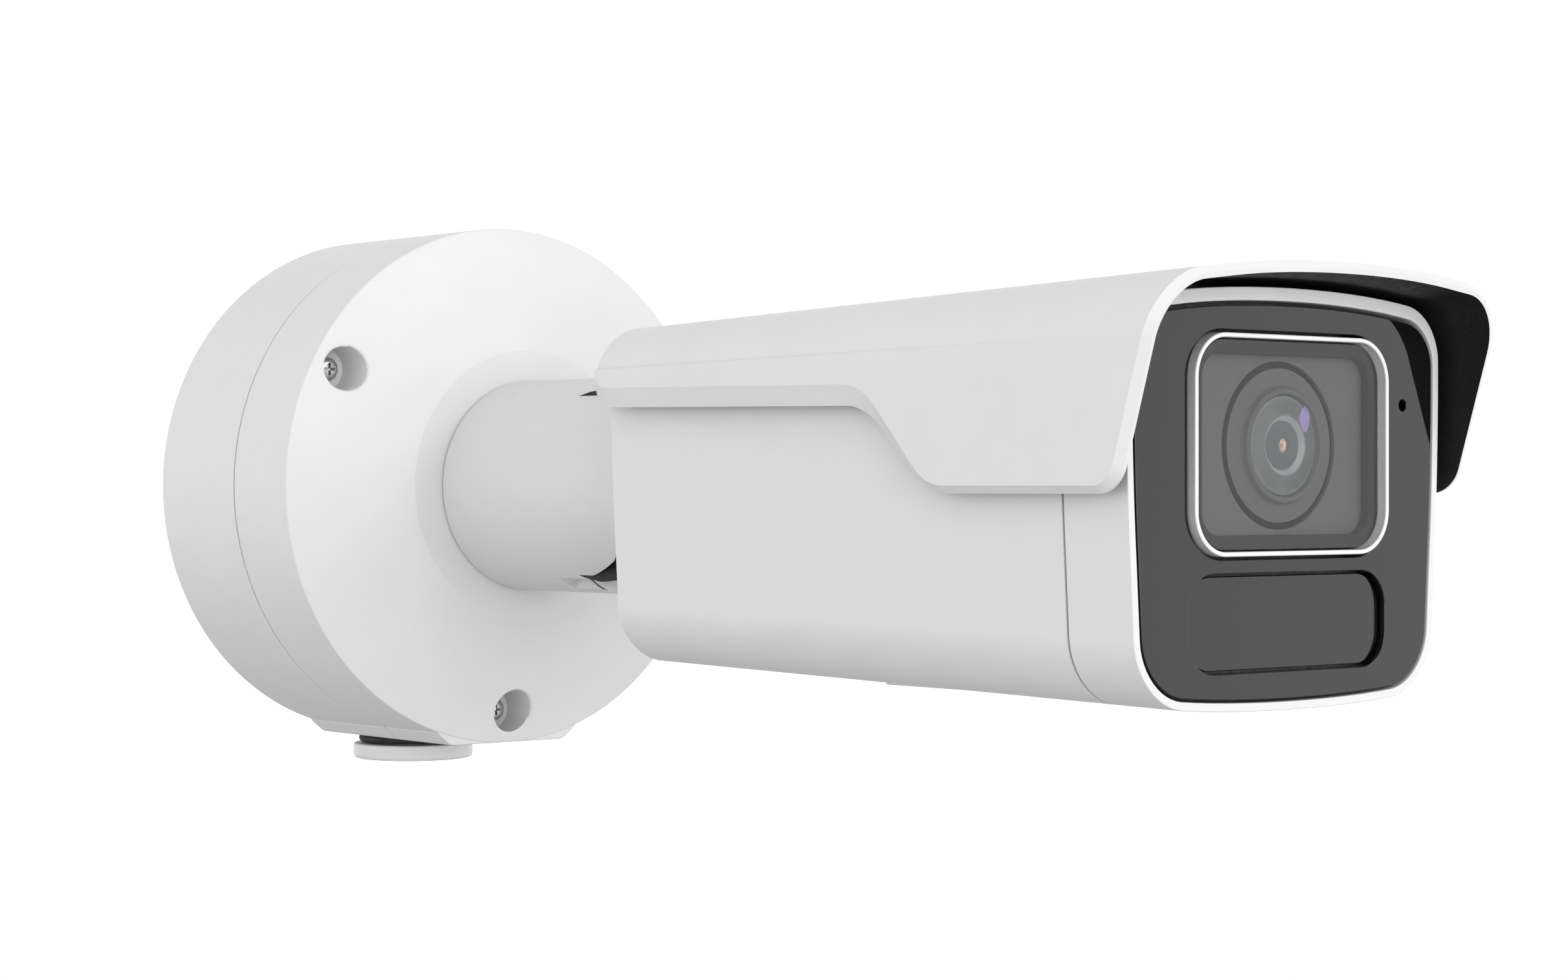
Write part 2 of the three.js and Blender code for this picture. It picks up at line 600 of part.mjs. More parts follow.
function element({ front, thickness, opening }) {
  const middle = front + thickness / 2;
  const radius = opening - GAP;
  return turned([
    [0, middle - 2.2], [radius * 0.6, middle - 1.8], [radius, middle - 0.8],
    [radius, middle + 0.8], [radius * 0.6, middle + 1.8], [0, middle + 2.2],
  ], { z: LENS_Z, segments: 20 });
}

// The lead screw's thread is left out: its outline is the thread's outer diameter.
function leadScrew(side) {
  const [x, , z] = lensPoint(0, side * DRIVE_OFFSET);
  return turned([
    [0, TUBE_FRONT + 3], [0.8, TUBE_FRONT + 3], [0.8, TUBE_FRONT + 5], [screwRadius, TUBE_FRONT + 5],
    [screwRadius, TUBE_REAR - 3], [0.8, TUBE_REAR - 3], [0.8, TUBE_REAR + 6], [0, TUBE_REAR + 6],
  ], { x, z, segments: 8 });
}

function lensBase() {
  const plate = extruded(roundedRectangle(20, LENS_Z - 20, LENS_Z + 20, 3), 'y',
    TUBE_REAR + GAP, TUBE_REAR + GAP + 2, { curveSegments: 3 });
  const openings = [rod('y', 6, -260, -240, lensPoint(0, 0), 16),
    ...rods.map((offset) => rod('y', 0.8 + GAP, -260, -240, lensPoint(0, offset), 8)),
    ...rods.map((offset) => rod('y', rodRadius + GAP, -260, -240, lensPoint(offset, 0), 8))];
  return cut(plate, ...openings);
}

function stepperMotor(side) {
  const spot = lensPoint(0, side * DRIVE_OFFSET);
  const front = TUBE_REAR + 2 + 2 * GAP;
  return cut(rod('y', 5, front, front + 9, spot, 16),
    rod('y', 0.8 + GAP, front - 1, front + 5, spot, 8));
}

// The slider that swaps a day filter for a night filter in front of the sensor.
function filterSlide() {
  const front = TUBE_REAR + 2 + 2 * GAP;
  const frame = extruded(roundedRectangle(13, LENS_Z - 6, LENS_Z + 6, 1.5), 'y', front, front + 1.8,
    { curveSegments: 2 }).translate([-6.5, 0, 0]);
  const ways = [0, -13].map((x) => rod('y', 4.6, -260, -240, lensPoint(x, 0), 14));
  return cut(frame, ...ways);
}

function sensorBoard() {
  const rear = TUBE_REAR + 14;
  return joined(block([-17, 17], [rear, rear + 1.6], [LENS_Z - 15, LENS_Z + 15]),
    block([-7, 7], [rear - 6, rear + 0.5], [LENS_Z - 5.5, LENS_Z + 5.5]));
}

place('lens_barrel', lensBarrel(), BLACK_PLASTIC());
place('front_element', frontElement(), GLASS());
place('zoom_carriage', carriage(zoomPlace), BLACK_PLASTIC());
place('zoom_element', element(zoomPlace), GLASS());
place('focus_carriage', carriage(focusPlace), BLACK_PLASTIC());
place('focus_element', element(focusPlace), GLASS());
['left', 'right'].forEach((side, i) => place(`guide_rod_${side}`,
  rod('y', rodRadius, TUBE_FRONT + 2.4, TUBE_REAR + 2, lensPoint(rods[i], 0), 10), STEEL()));
place('zoom_screw', leadScrew(1), STEEL());
place('focus_screw', leadScrew(-1), STEEL());
place('zoom_motor', stepperMotor(1), STEEL());
place('focus_motor', stepperMotor(-1), STEEL());
place('lens_base', lensBase(), BLACK_PLASTIC());
place('filter_slide', filterSlide(), BLACK_PLASTIC());
place('sensor_board', sensorBoard(), CIRCUIT());

// ---------------------------------------------------------------- electronics

const boardLevel = -20;

function mainBoard() {
  const top = boardLevel + 1.6;
  const chips = [[-18, -222, 8], [6, -225, 6], [20, -190, 5], [-16, -188, 4]].map(
    ([x, y, half]) => block([x - half, x + half], [y - half, y + half], [top - 0.5, top + 1.4]));
  const sockets = block([-6, 8], [-183, -176], [top - 0.5, top + 6]);
  return joined(block([-31, 31], [-236, -174], [boardLevel, top]), ...chips, sockets);
}

function heatSpreader() {
  const base = block([-27, -9], [-231, -213], [-16.6, -14.4]);
  const fins = [-26, -22, -18, -14, -10].map(
    (x) => block([x - 0.7, x + 0.7], [-231, -213], [-15, -9]));
  return joined(base, ...fins);
}

function powerBoard() {
  const level = 21;
  const cans = [[-15, -222], [-4, -222], [8, -205]].map(
    ([x, y]) => rod('z', 4, level - 9, level + 0.5, [x, y, 0], 12));
  return joined(block([-25, 25], [-234, -180], [level, level + 1.6]), ...cans);
}

// Sheet-metal sled that carries the lens and the boards, with a window over the hatch.
function chassis() {
  const floor = block([-33, 33], [-250, -172], [-30, -28.5]);
  const front = block([-21, 21], [-251.5, -250], [-30, -13.2]);
  return cut(joined(floor, front), block([-13, 13], [-249, -228], [-35, -25]));
}

place('chassis', chassis(), ALLOY());
place('main_board', mainBoard(), CIRCUIT());
place('heat_spreader', heatSpreader(), ALLOY());
place('power_board', powerBoard(), CIRCUIT());
place('memory_card', block([-11, 0], [-243.6, -237], [-24, -23]), BLACK_PLASTIC());
place('reset_button', rod('z', 1.6, -26.5, boardLevel - 1, [6, -233, 0], 12), BLACK_PLASTIC());

// ---------------------------------------------------------------- sunshield

// Roof outline at the hood's front end, open downwards.
function hoodOutline(inset) {
  const half = HOOD_HALF - inset;
  const top = HOOD_TOP_FRONT - inset;
  const shape = new THREE.Shape();
  shape.moveTo(-half, -20);
  shape.lineTo(half, -20);
  shape.lineTo(half, top - 17);
  shape.quadraticCurveTo(half - 0.6, top - 5.4, half - 10, top - 2.8);
  shape.quadraticCurveTo(0, top + 2.8, 10 - half, top - 2.8);
  shape.quadraticCurveTo(0.6 - half, top - 5.4, -half, top - 17);
  return shape;
}

function slope(x, y, z) {
  return [x, y, z > 0 ? z + (hoodTopAt(y) - HOOD_TOP_FRONT) * Math.min(z / 25, 1) : z];
}

// Side view of the hood: a raked front edge, and a lower edge that steps up over the rear
// two thirds.
function hoodSide() {
  const side = new THREE.Shape();
  side.moveTo(HOOD_REAR, 60);
  side.lineTo(HOOD_REAR, 22);
  side.quadraticCurveTo(HOOD_REAR, 17.1, HOOD_REAR - 5, 17);
  side.lineTo(-248, 15.8);
  side.quadraticCurveTo(-252.5, 15.7, -255.5, 12.5);
  side.lineTo(-267.5, 1.5);
  side.quadraticCurveTo(-270.5, -1.5, -275, -1.5);
  side.lineTo(-315.5, -1.5);
  side.quadraticCurveTo(-320.6, -1.5, -321.9, 2.2);
  side.lineTo(HOOD_FRONT, HOOD_TOP_FRONT);
  side.lineTo(-339, 60);
  return side;
}

function sunshield() {
  const long = { shape: slope };
  const outer = extruded(hoodOutline(0), 'y', -345, -150, long);
  const inner = extruded(hoodOutline(HOOD_WALL), 'y', -346, -149, long);
  const below = block([-60, 60], [-350, -140], [-60, -1.5]);
  const profile = extruded(hoodSide(), 'x', -60, 60);
  const slots = hoodScrewY.map((y) => extruded(
    roundedRectangle(2.3, y - 13, y + 17.5, 2.29), 'z', 20, 60, { curveSegments: 4 }));
  const floor = (x, y, z) => [x, y, z === 0 ? hoodTopAt(y) - hoodGroove.depth : z];
  const grooves = hoodScrewY.map((y) => extruded(
    roundedRectangle(hoodGroove.half, y - 15.3, y + 19.8, hoodGroove.half - 0.01), 'z', 0, 60,
    { curveSegments: 5, shape: floor }));
  return cut(outer.intersect(profile), inner, below, ...slots, ...grooves);
}

place('sunshield', sunshield(), WHITE());

export default assembly;
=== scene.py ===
import json
from math import atan2, hypot, pi, radians

import bmesh
import bpy
from mathutils import Matrix, Vector

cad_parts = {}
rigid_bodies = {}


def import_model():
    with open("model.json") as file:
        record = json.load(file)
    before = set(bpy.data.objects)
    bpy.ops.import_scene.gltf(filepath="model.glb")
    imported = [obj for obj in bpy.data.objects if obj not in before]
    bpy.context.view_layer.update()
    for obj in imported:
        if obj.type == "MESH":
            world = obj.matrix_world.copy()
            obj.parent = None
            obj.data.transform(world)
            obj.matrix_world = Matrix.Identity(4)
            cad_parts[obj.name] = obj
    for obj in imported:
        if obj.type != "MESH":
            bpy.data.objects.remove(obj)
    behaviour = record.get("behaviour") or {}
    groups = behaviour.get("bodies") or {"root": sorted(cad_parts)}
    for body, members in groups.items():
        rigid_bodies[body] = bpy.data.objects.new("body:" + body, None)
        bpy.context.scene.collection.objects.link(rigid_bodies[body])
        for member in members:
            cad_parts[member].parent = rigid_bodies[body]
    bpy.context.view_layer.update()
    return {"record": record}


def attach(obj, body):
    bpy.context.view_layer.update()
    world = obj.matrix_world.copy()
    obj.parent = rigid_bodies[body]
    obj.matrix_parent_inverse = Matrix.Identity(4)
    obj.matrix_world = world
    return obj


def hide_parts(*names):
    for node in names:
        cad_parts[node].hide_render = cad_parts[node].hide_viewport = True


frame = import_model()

# Bullet camera on a round junction box. Shapes are drawn in millimetres and scaled to metres
# when they are kept. Y = 0 is the wall, the lens looks along -Y and Z is up.

MM = 0.001
PATTERN_LOW, PATTERN_HIGH = 0.3, 0.7  # nearly all of a noise pattern's values lie between


# ---------------------------------------------------------------- finishes

def blank(name, colour, roughness, metallic=0.0):
    made = bpy.data.materials.new(name)
    made.use_nodes = True
    shader = made.node_tree.nodes["Principled BSDF"]
    shader.inputs["Base Color"].default_value = (*colour, 1.0)
    shader.inputs["Roughness"].default_value = roughness
    shader.inputs["Metallic"].default_value = metallic
    return made, made.node_tree, shader


def grain(tree, scale, detail=2.0, stretch=None):
    """Noise on the piece's own coordinates, in cycles per metre."""
    where = tree.nodes.new("ShaderNodeTexCoord").outputs["Object"]
    if stretch:
        mapping = tree.nodes.new("ShaderNodeMapping")
        mapping.inputs["Scale"].default_value = stretch
        tree.links.new(where, mapping.inputs["Vector"])
        where = mapping.outputs["Vector"]
    noise = tree.nodes.new("ShaderNodeTexNoise")
    noise.inputs["Scale"].default_value = scale
    noise.inputs["Detail"].default_value = detail
    tree.links.new(where, noise.inputs["Vector"])
    return noise.outputs["Fac"]


def tint(tree, shader, pattern, dark, light):
    ramp = tree.nodes.new("ShaderNodeValToRGB")
    first, last = ramp.color_ramp.elements
    first.position, first.color = PATTERN_LOW, (*dark, 1.0)
    last.position, last.color = PATTERN_HIGH, (*light, 1.0)
    tree.links.new(pattern, ramp.inputs["Fac"])
    tree.links.new(ramp.outputs["Color"], shader.inputs["Base Color"])


def polish(tree, shader, pattern, smooth, rough):
    spread = tree.nodes.new("ShaderNodeMapRange")
    spread.inputs["From Min"].default_value = PATTERN_LOW
    spread.inputs["From Max"].default_value = PATTERN_HIGH
    spread.inputs["To Min"].default_value = smooth
    spread.inputs["To Max"].default_value = rough
    tree.links.new(pattern, spread.inputs["Value"])
    tree.links.new(spread.outputs["Result"], shader.inputs["Roughness"])


def emboss(tree, shader, pattern, depth, strength=0.5):
    bump = tree.nodes.new("ShaderNodeBump")
    bump.inputs["Strength"].default_value = strength
    bump.inputs["Distance"].default_value = depth
    tree.links.new(pattern, bump.inputs["Height"])
    tree.links.new(bump.outputs["Normal"], shader.inputs["Normal"])


def white_enamel():
    """Satin powder coat: a faint orange peel and cloudy sheen."""
    made, tree, shader = blank("white_enamel", (0.6, 0.6, 0.6), 0.45)
    tint(tree, shader, grain(tree, 60, 3), (0.582, 0.582, 0.582), (0.596, 0.596, 0.596))
    polish(tree, shader, grain(tree, 220, 3), 0.4, 0.5)
    emboss(tree, shader, grain(tree, 1600, 1), 0.00002, 0.25)
    return made


def bezel_enamel():
    made, tree, shader = blank("bezel_enamel", (0.66, 0.66, 0.66), 0.25)
    polish(tree, shader, grain(tree, 300), 0.2, 0.3)
    emboss(tree, shader, grain(tree, 2500, 1), 0.00001, 0.2)
    return made


def bezel_side():
    """Silver-grey coat on the ring's side."""
    made, tree, shader = blank("bezel_side", (0.3, 0.3, 0.3), 0.4)
    tint(tree, shader, grain(tree, 900, 3), (0.42, 0.42, 0.42), (0.48, 0.48, 0.48))
    polish(tree, shader, grain(tree, 300), 0.35, 0.45)
    return made


def hood_lining():
    """Black flocked coating on the inside of the sunshield."""
    made, tree, shader = blank("hood_lining", (0.006, 0.006, 0.0065), 0.5)
    shader.inputs["Specular IOR Level"].default_value = 0.35
    polish(tree, shader, grain(tree, 900, 4), 0.42, 0.62)
    emboss(tree, shader, grain(tree, 2400, 4), 0.00006, 0.6)
    return made


def black_rubber():
    made, tree, shader = blank("black_rubber", (0.012, 0.012, 0.012), 0.7)
    tint(tree, shader, grain(tree, 150, 4), (0.008, 0.008, 0.008), (0.02, 0.02, 0.02))
    polish(tree, shader, grain(tree, 500, 3), 0.6, 0.8)
    emboss(tree, shader, grain(tree, 3000, 3), 0.00004)
    return made


def stainless_steel():
    made, tree, shader = blank("stainless_steel", (0.6, 0.6, 0.61), 0.3, 1.0)
    tint(tree, shader, grain(tree, 400, 4), (0.5, 0.5, 0.51), (0.66, 0.66, 0.67))
    polish(tree, shader, grain(tree, 900, 4, (1, 8, 1)), 0.22, 0.4)
    emboss(tree, shader, grain(tree, 1200, 3, (1, 12, 1)), 0.00001, 0.3)
    return made


def smoked_panel():
    """Black acrylic with a clear hard coat."""
    made, tree, shader = blank("smoked_panel", (0.0035, 0.0037, 0.0037), 0.03)
    shader.inputs["IOR"].default_value = 1.52
    polish(tree, shader, grain(tree, 80, 2), 0.02, 0.035)
    return made


def black_plastic(name="black_plastic", light=0.012, roughness=0.42, shine=0.5):
    made, tree, shader = blank(name, (light, light, light), roughness)
    shader.inputs["Specular IOR Level"].default_value = shine
    tint(tree, shader, grain(tree, 300, 3), (light * 0.8,) * 3, (light * 1.3,) * 3)
    polish(tree, shader, grain(tree, 700, 3), roughness - 0.06, roughness + 0.08)
    emboss(tree, shader, grain(tree, 3500, 3), 0.00003, 0.3)
    return made


def mask_grey():
    made, tree, shader = blank("mask_grey", (0.1, 0.102, 0.103), 0.75)
    shader.inputs["Specular IOR Level"].default_value = 0.2
    tint(tree, shader, grain(tree, 200, 4), (0.056, 0.056, 0.056), (0.059, 0.059, 0.059))
    emboss(tree, shader, grain(tree, 4000, 3), 0.00001, 0.2)
    return made


def clear_glass(name, colour, mirror, roughness):
    """Coated glass: light goes straight through, and each face mirrors a small part."""
    made, tree, shader = blank(name, colour, roughness, 1.0)
    shader.inputs["Alpha"].default_value = mirror
    tint(tree, shader, grain(tree, 60), [part * 0.97 for part in colour], colour)
    polish(tree, shader, grain(tree, 150, 3), roughness * 0.8, roughness * 1.3)
    return made


# amber colour, darker and brighter at random: painted glint of the coated inner lens
def amber_painted_glint():
    made, tree, shader = blank("amber_painted_glint", (0.3, 0.16, 0.07), 0.15)
    tint(tree, shader, grain(tree, 900, 2), (0.1, 0.045, 0.03), (0.62, 0.4, 0.2))
    polish(tree, shader, grain(tree, 300), 0.1, 0.2)
    return made


def emitter_resin():
    made, tree, shader = blank("emitter_resin", (0.02, 0.012, 0.02), 0.08)
    polish(tree, shader, grain(tree, 300), 0.05, 0.12)
    return made


def circuit_board():
    """Green solder mask over copper tracks."""
    made, tree, shader = blank("circuit_board", (0.01, 0.09, 0.04), 0.35)
    where = tree.nodes.new("ShaderNodeTexCoord")
    tracks = tree.nodes.new("ShaderNodeTexBrick")
    tracks.inputs["Scale"].default_value = 220.0
    tracks.inputs["Mortar Size"].default_value = 0.03
    tracks.inputs["Color1"].default_value = (0.010, 0.085, 0.038, 1)
    tracks.inputs["Color2"].default_value = (0.013, 0.100, 0.045, 1)
    tracks.inputs["Mortar"].default_value = (0.030, 0.170, 0.075, 1)
    tree.links.new(where.outputs["Object"], tracks.inputs["Vector"])
    tree.links.new(tracks.outputs["Color"], shader.inputs["Base Color"])
    emboss(tree, shader, tracks.outputs["Fac"], 0.00003)
    return made


def bare_aluminium():
    made, tree, shader = blank("bare_aluminium", (0.72, 0.73, 0.74), 0.42, 1.0)
    polish(tree, shader, grain(tree, 500, 4, (6, 1, 1)), 0.34, 0.52)
    emboss(tree, shader, grain(tree, 900, 3, (10, 1, 1)), 0.00001, 0.3)
    return made


ENAMEL = white_enamel()
BEZEL_ENAMEL = bezel_enamel()
LINING = hood_lining()
RUBBER = black_rubber()
STEEL = stainless_steel()
PANEL = smoked_panel()
PLASTIC = black_plastic()
FRAME_BLACK = black_plastic("window_frame_black", 0.002, 0.6, 0.1)
GREY = mask_grey()
GLASS = clear_glass("window_glass", (0.97, 0.98, 0.98), 0.029, 0.02)
COATED = clear_glass("lens_glass", (0.86, 0.97, 1.0), 0.036, 0.025)
AMBER_PAINTED_GLINT = amber_painted_glint()
# near-black finish for the iris ring: painted shade for the dark pupil of the lens
PUPIL_PAINTED_SHADE = black_plastic("pupil_painted_shade", 0.004, 0.5, 0.1)
CELL_BLACK = black_plastic("lens_cell_black", 0.05, 0.5, 0.2)
# a lighter copy of the cell's black: painted light for the lit inner cone
CELL_PAINTED_LIGHT = black_plastic("lens_cell_painted_light", 0.16, 0.5, 0.2)
BEZEL_SIDE = bezel_side()
RESIN = emitter_resin()
BOARD = circuit_board()
ALUMINIUM = bare_aluminium()


# ---------------------------------------------------------------- working the mesh

CLOSE = 1e-4  # points this near each other on a turned shape are one
CUT_CLOSE = 2e-3  # the same after a cut, which leaves small splinters


def lay(bm, along):
    """Turns a shape made along Y so that it lies along X or Z instead."""
    turn = {"X": Matrix.Rotation(-pi / 2, 3, "Z"), "Z": Matrix.Rotation(pi / 2, 3, "X")}
    if along in turn:
        bmesh.ops.rotate(bm, verts=bm.verts, cent=(0, 0, 0), matrix=turn[along])
    return bm


def round_corners(bm, corners, segments):
    """Rounds single corners: each is a vertex with the length cut off along its edges."""
    for corner, length in corners:
        if length:
            bmesh.ops.bevel(bm, geom=[corner], offset=length, offset_type="OFFSET",
                            affect="VERTICES", segments=segments, profile=0.5, material=-1)


def revolve(profile, steps=96, at=(0, 0, 0), along="Y", segments=3):
    """Turns a profile of (radius, distance, rounding) points about an axis."""
    bm = bmesh.new()
    points = [bm.verts.new((point[0], point[1], 0)) for point in profile]
    for start, end in zip(points, points[1:]):
        bm.edges.new((start, end))
    if profile[0][0] > 0:
        bm.edges.new((points[-1], points[0]))
    rounding = [point[2] if len(point) > 2 else 0 for point in profile]
    round_corners(bm, list(zip(points, rounding)), segments)
    bmesh.ops.spin(bm, geom=bm.verts[:] + bm.edges[:], cent=(0, 0, 0), axis=(0, 1, 0),
                   dvec=(0, 0, 0), angle=2 * pi, steps=steps, use_merge=True,
                   use_duplicate=False)
    bmesh.ops.remove_doubles(bm, verts=bm.verts, dist=CLOSE)
    bmesh.ops.recalc_face_normals(bm, faces=bm.faces)
    lay(bm, along)
    bmesh.ops.translate(bm, verts=bm.verts, vec=at)
    return bm


def rod(radius, low, high, along="Y", at=(0, 0, 0), steps=48, edge=0.0):
    return revolve([(0, low), (radius, low, edge), (radius, high, edge), (0, high)],
                   steps, at, along)


def plate(corners, low, high, across="Y", segments=8):
    """A flat outline of (a, b, rounding) corners, given its thickness across an axis."""
    place = {"X": lambda a, b: (low, a, b), "Y": lambda a, b: (a, low, b),
             "Z": lambda a, b: (a, b, low)}[across]
    step = {"X": (1, 0, 0), "Y": (0, 1, 0), "Z": (0, 0, 1)}[across]
    bm = bmesh.new()
    points = [bm.verts.new(place(corner[0], corner[1])) for corner in corners]
    bm.faces.new(points)
    rounding = [corner[2] if len(corner) > 2 else 0 for corner in corners]
    round_corners(bm, list(zip(points, rounding)), segments)
    made = bmesh.ops.extrude_face_region(bm, geom=bm.faces[:])
    moved = [part for part in made["geom"] if isinstance(part, bmesh.types.BMVert)]
    bmesh.ops.translate(bm, verts=moved, vec=[part * (high - low) for part in step])
    bmesh.ops.recalc_face_normals(bm, faces=bm.faces)
    return bm


def block(xs, ys, zs):
    corners = [(xs[0], zs[0]), (xs[1], zs[0]), (xs[1], zs[1]), (xs[0], zs[1])]
    return plate(corners, ys[0], ys[1])


def rounded(half, low, high, radius):
    """Corners of a rounded rectangle, even about 0 in its first direction."""
    return [(-half, low, radius), (half, low, radius), (half, high, radius),
            (-half, high, radius)]


def together(first, *others):
    """Several separate shapes as one mesh."""
    for other in others:
        mesh = bpy.data.meshes.new("shape")
        other.to_mesh(mesh)
        first.from_mesh(mesh)
        bpy.data.meshes.remove(mesh)
    return first


def loose_object(bm):
    """A passing object for a cut, with empty slots that keep the painted face numbers."""
    mesh = bpy.data.meshes.new("shape")
    bm.to_mesh(mesh)
    for _ in range(3):
        mesh.materials.append(None)
    loose = bpy.data.objects.new("shape", mesh)
    bpy.context.scene.collection.objects.link(loose)
    return loose


def combine(operation, first, *tools):
    """Joins tools to a shape, or cuts them out of it, one after another."""
    for tool in tools:
        left, right = loose_object(first), loose_object(tool)
        step = left.modifiers.new("step", "BOOLEAN")
        step.object = right
        step.operation = operation
        step.solver = "EXACT"
        depsgraph = bpy.context.evaluated_depsgraph_get()
        first = bmesh.new()
        first.from_mesh(left.evaluated_get(depsgraph).data)
        for loose in (left, right):
            mesh = loose.data
            bpy.data.objects.remove(loose)
            bpy.data.meshes.remove(mesh)
        bmesh.ops.remove_doubles(first, verts=first.verts, dist=CUT_CLOSE)
        bmesh.ops.dissolve_degenerate(first, edges=first.edges, dist=CUT_CLOSE)
    return first


def union(first, *tools):
    return combine("UNION", first, *tools)


def minus(first, *tools):
    return combine("DIFFERENCE", first, *tools)


def common(first, *tools):
    return combine("INTERSECT", first, *tools)


def soften(bm, width, where=lambda middle: True, degrees=32, segments=3):
    """Bevels the sharp edges whose middle passes the test."""
    edges = []
    for edge in bm.edges:
        if len(edge.link_faces) != 2 or edge.calc_face_angle(0) < radians(degrees):
            continue
        if where((edge.verts[0].co + edge.verts[1].co) / 2):
            edges.append(edge)
    bmesh.ops.bevel(bm, geom=edges, offset=width, offset_type="OFFSET", affect="EDGES",
                    segments=segments, profile=0.5, material=-1, clamp_overlap=True)
    return bm


def paint(bm, index, where=lambda face: True):
    for face in bm.faces:
        if where(face):
            face.material_index = index
    return bm


def keep(bm, name, body, slot, finishes, *nodes, crease=50):
    """Keeps a finished shape as a piece that rides on a body and stands for CAD nodes."""
    bmesh.ops.scale(bm, verts=bm.verts, vec=(MM, MM, MM))
    mesh = bpy.data.meshes.new(name)
    bm.to_mesh(mesh)
    bm.free()
    for finish in finishes:
        mesh.materials.append(finish)
    mesh.polygons.foreach_set("use_smooth", [True] * len(mesh.polygons))
    mesh.set_sharp_from_angle(angle=radians(crease))
    piece = bpy.data.objects.new(name, mesh)
    bpy.context.scene.collection.objects.link(piece)
    even = piece.modifiers.new("even_shading", "WEIGHTED_NORMAL")
    even.keep_sharp = True
    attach(piece, body)
    if nodes:
        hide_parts(*nodes)
    return piece


# ---------------------------------------------------------------- junction box

BOX_RADIUS = 65
BOX_ROOM = 60.5  # radius inside the walls
REAR_SHELL_FRONT, FRONT_SHELL_REAR = -35.4, -36  # the gasket shows in the gap
COVER_EDGE, COVER_FACE = -60.5, -69.3
COVER_FLAT = 33.9  # radius of the cover's flat middle
COVER_FALL, COVER_SPREAD = 8.8, 31.1  # depth and width of its sloping face
SCREW_SPOTS = [(-49.36, 28.5), (0.0, -57.0), (49.36, 28.5)]
PLUG_Y = -16.7
CABLE_AT = (0, 0, 28)


def foot(low, high):
    corners = [(-21.6, -50), (-21.6, -61.4, 1.2), (-17.3, -65, 1.2), (17.3, -65, 1.2),
               (21.6, -61.4, 1.2), (21.6, -50)]
    return plate(corners, low, high)


def on_foot(middle):
    return abs(middle.x) < 22.5 and middle.z < -59


def make_rear_shell():
    shell = rod(BOX_RADIUS, REAR_SHELL_FRONT, 0, steps=144, edge=0.4)
    shell = union(shell, soften(foot(REAR_SHELL_FRONT, 0), 0.4, on_foot, 20))
    cavity = rod(BOX_ROOM, -36, -3.5, steps=96)
    groove = revolve([(61.6, -36), (63.6, -36), (63.6, -33), (61.6, -33)], 96)
    shell = minus(shell, cavity, groove)
    bosses = [rod(5.5, REAR_SHELL_FRONT, -2, at=(x, 0, z), steps=24) for x, z in SCREW_SPOTS]
    threads = [rod(2.3, -36, -22, at=(x, 0, z), steps=16) for x, z in SCREW_SPOTS]
    shell = union(shell, *bosses)
    spots = [(-30, -20), (30, -20), (-30, 24), (30, 24)]
    wall_holes = [rod(2.6, -5, 1, at=(x, 0, z), steps=24) for x, z in spots]
    cable_hole = rod(12, -5, 1, at=CABLE_AT, steps=48)
    conduit_hole = rod(10.6, -70, -59, "Z", at=(0, PLUG_Y, 0), steps=48)
    shell = minus(shell, together(*threads, *wall_holes, cable_hole), conduit_hole)
    keep(shell, "rear_shell_moulding", "junction_box", "white_enamel", [ENAMEL], "rear_shell")


def countersink(x, z):
    """A cone that breaks a recess's edge evenly, square to the cover's sloping face."""
    reach = hypot(x, z)
    level = COVER_EDGE - (BOX_RADIUS - reach) * COVER_FALL / COVER_SPREAD
    cone = revolve([(0, -3), (9.1, -3), (5.2, 0.9), (0, 0.9)], 64)
    tangent = Vector((-z / reach, 0, x / reach))
    lean = Matrix.Rotation(atan2(COVER_FALL, COVER_SPREAD), 3, tangent)
    bmesh.ops.rotate(cone, verts=cone.verts, cent=(0, 0, 0), matrix=lean)
    bmesh.ops.translate(cone, verts=cone.verts, vec=(x, level, z))
    return cone


def make_front_shell():
    outside = revolve([(0, FRONT_SHELL_REAR), (BOX_RADIUS, FRONT_SHELL_REAR, 0.4),
                       (BOX_RADIUS, COVER_EDGE, 0.35), (COVER_FLAT, COVER_FACE, 0.15),
                       (0, COVER_FACE)], 144)
    outside = union(outside, soften(foot(-60.3, FRONT_SHELL_REAR), 0.4, on_foot, 20))
    within = revolve([(0, -34), (64, -34), (64, -59.6), (33.6, -68.2), (0, -68.2)], 144)
    cavity = revolve([(0, -34), (BOX_ROOM, -34), (BOX_ROOM, -56.7), (COVER_FLAT, -65.5),
                      (0, -65.5)], 96)
    shell = minus(outside, cavity)
    columns = [rod(8, -66, -40, at=(x, 0, z), steps=32) for x, z in SCREW_SPOTS]
    shell = union(shell, *[common(column, within.copy()) for column in columns])
    for x, z in SCREW_SPOTS:
        recess = revolve([(0, -70), (5.33, -70), (5.33, -52.2), (2.3, -52.2), (2.3, -30),
                          (0, -30)], 64, (x, 0, z))
        shell = minus(shell, recess, countersink(x, z))
    shell = minus(shell, rod(20.2, -72, -60, steps=96))
    keep(shell, "front_shell_moulding", "junction_box", "white_enamel", [ENAMEL],
         "front_shell")


def cross(reach, half, low, high):
    """The tool for a cross recess, narrower where it goes deep."""
    corners = [(-reach, -half), (-half, -half), (-half, -reach), (half, -reach),
               (half, -half), (reach, -half), (reach, half), (half, half), (half, reach),
               (-half, reach), (-half, half), (-reach, half)]
    shape = plate(corners, low, high)
    deep = [point for point in shape.verts if point.co.y > (low + high) / 2]
    bmesh.ops.scale(shape, verts=deep, vec=(0.6, 1, 0.6))
    return shape


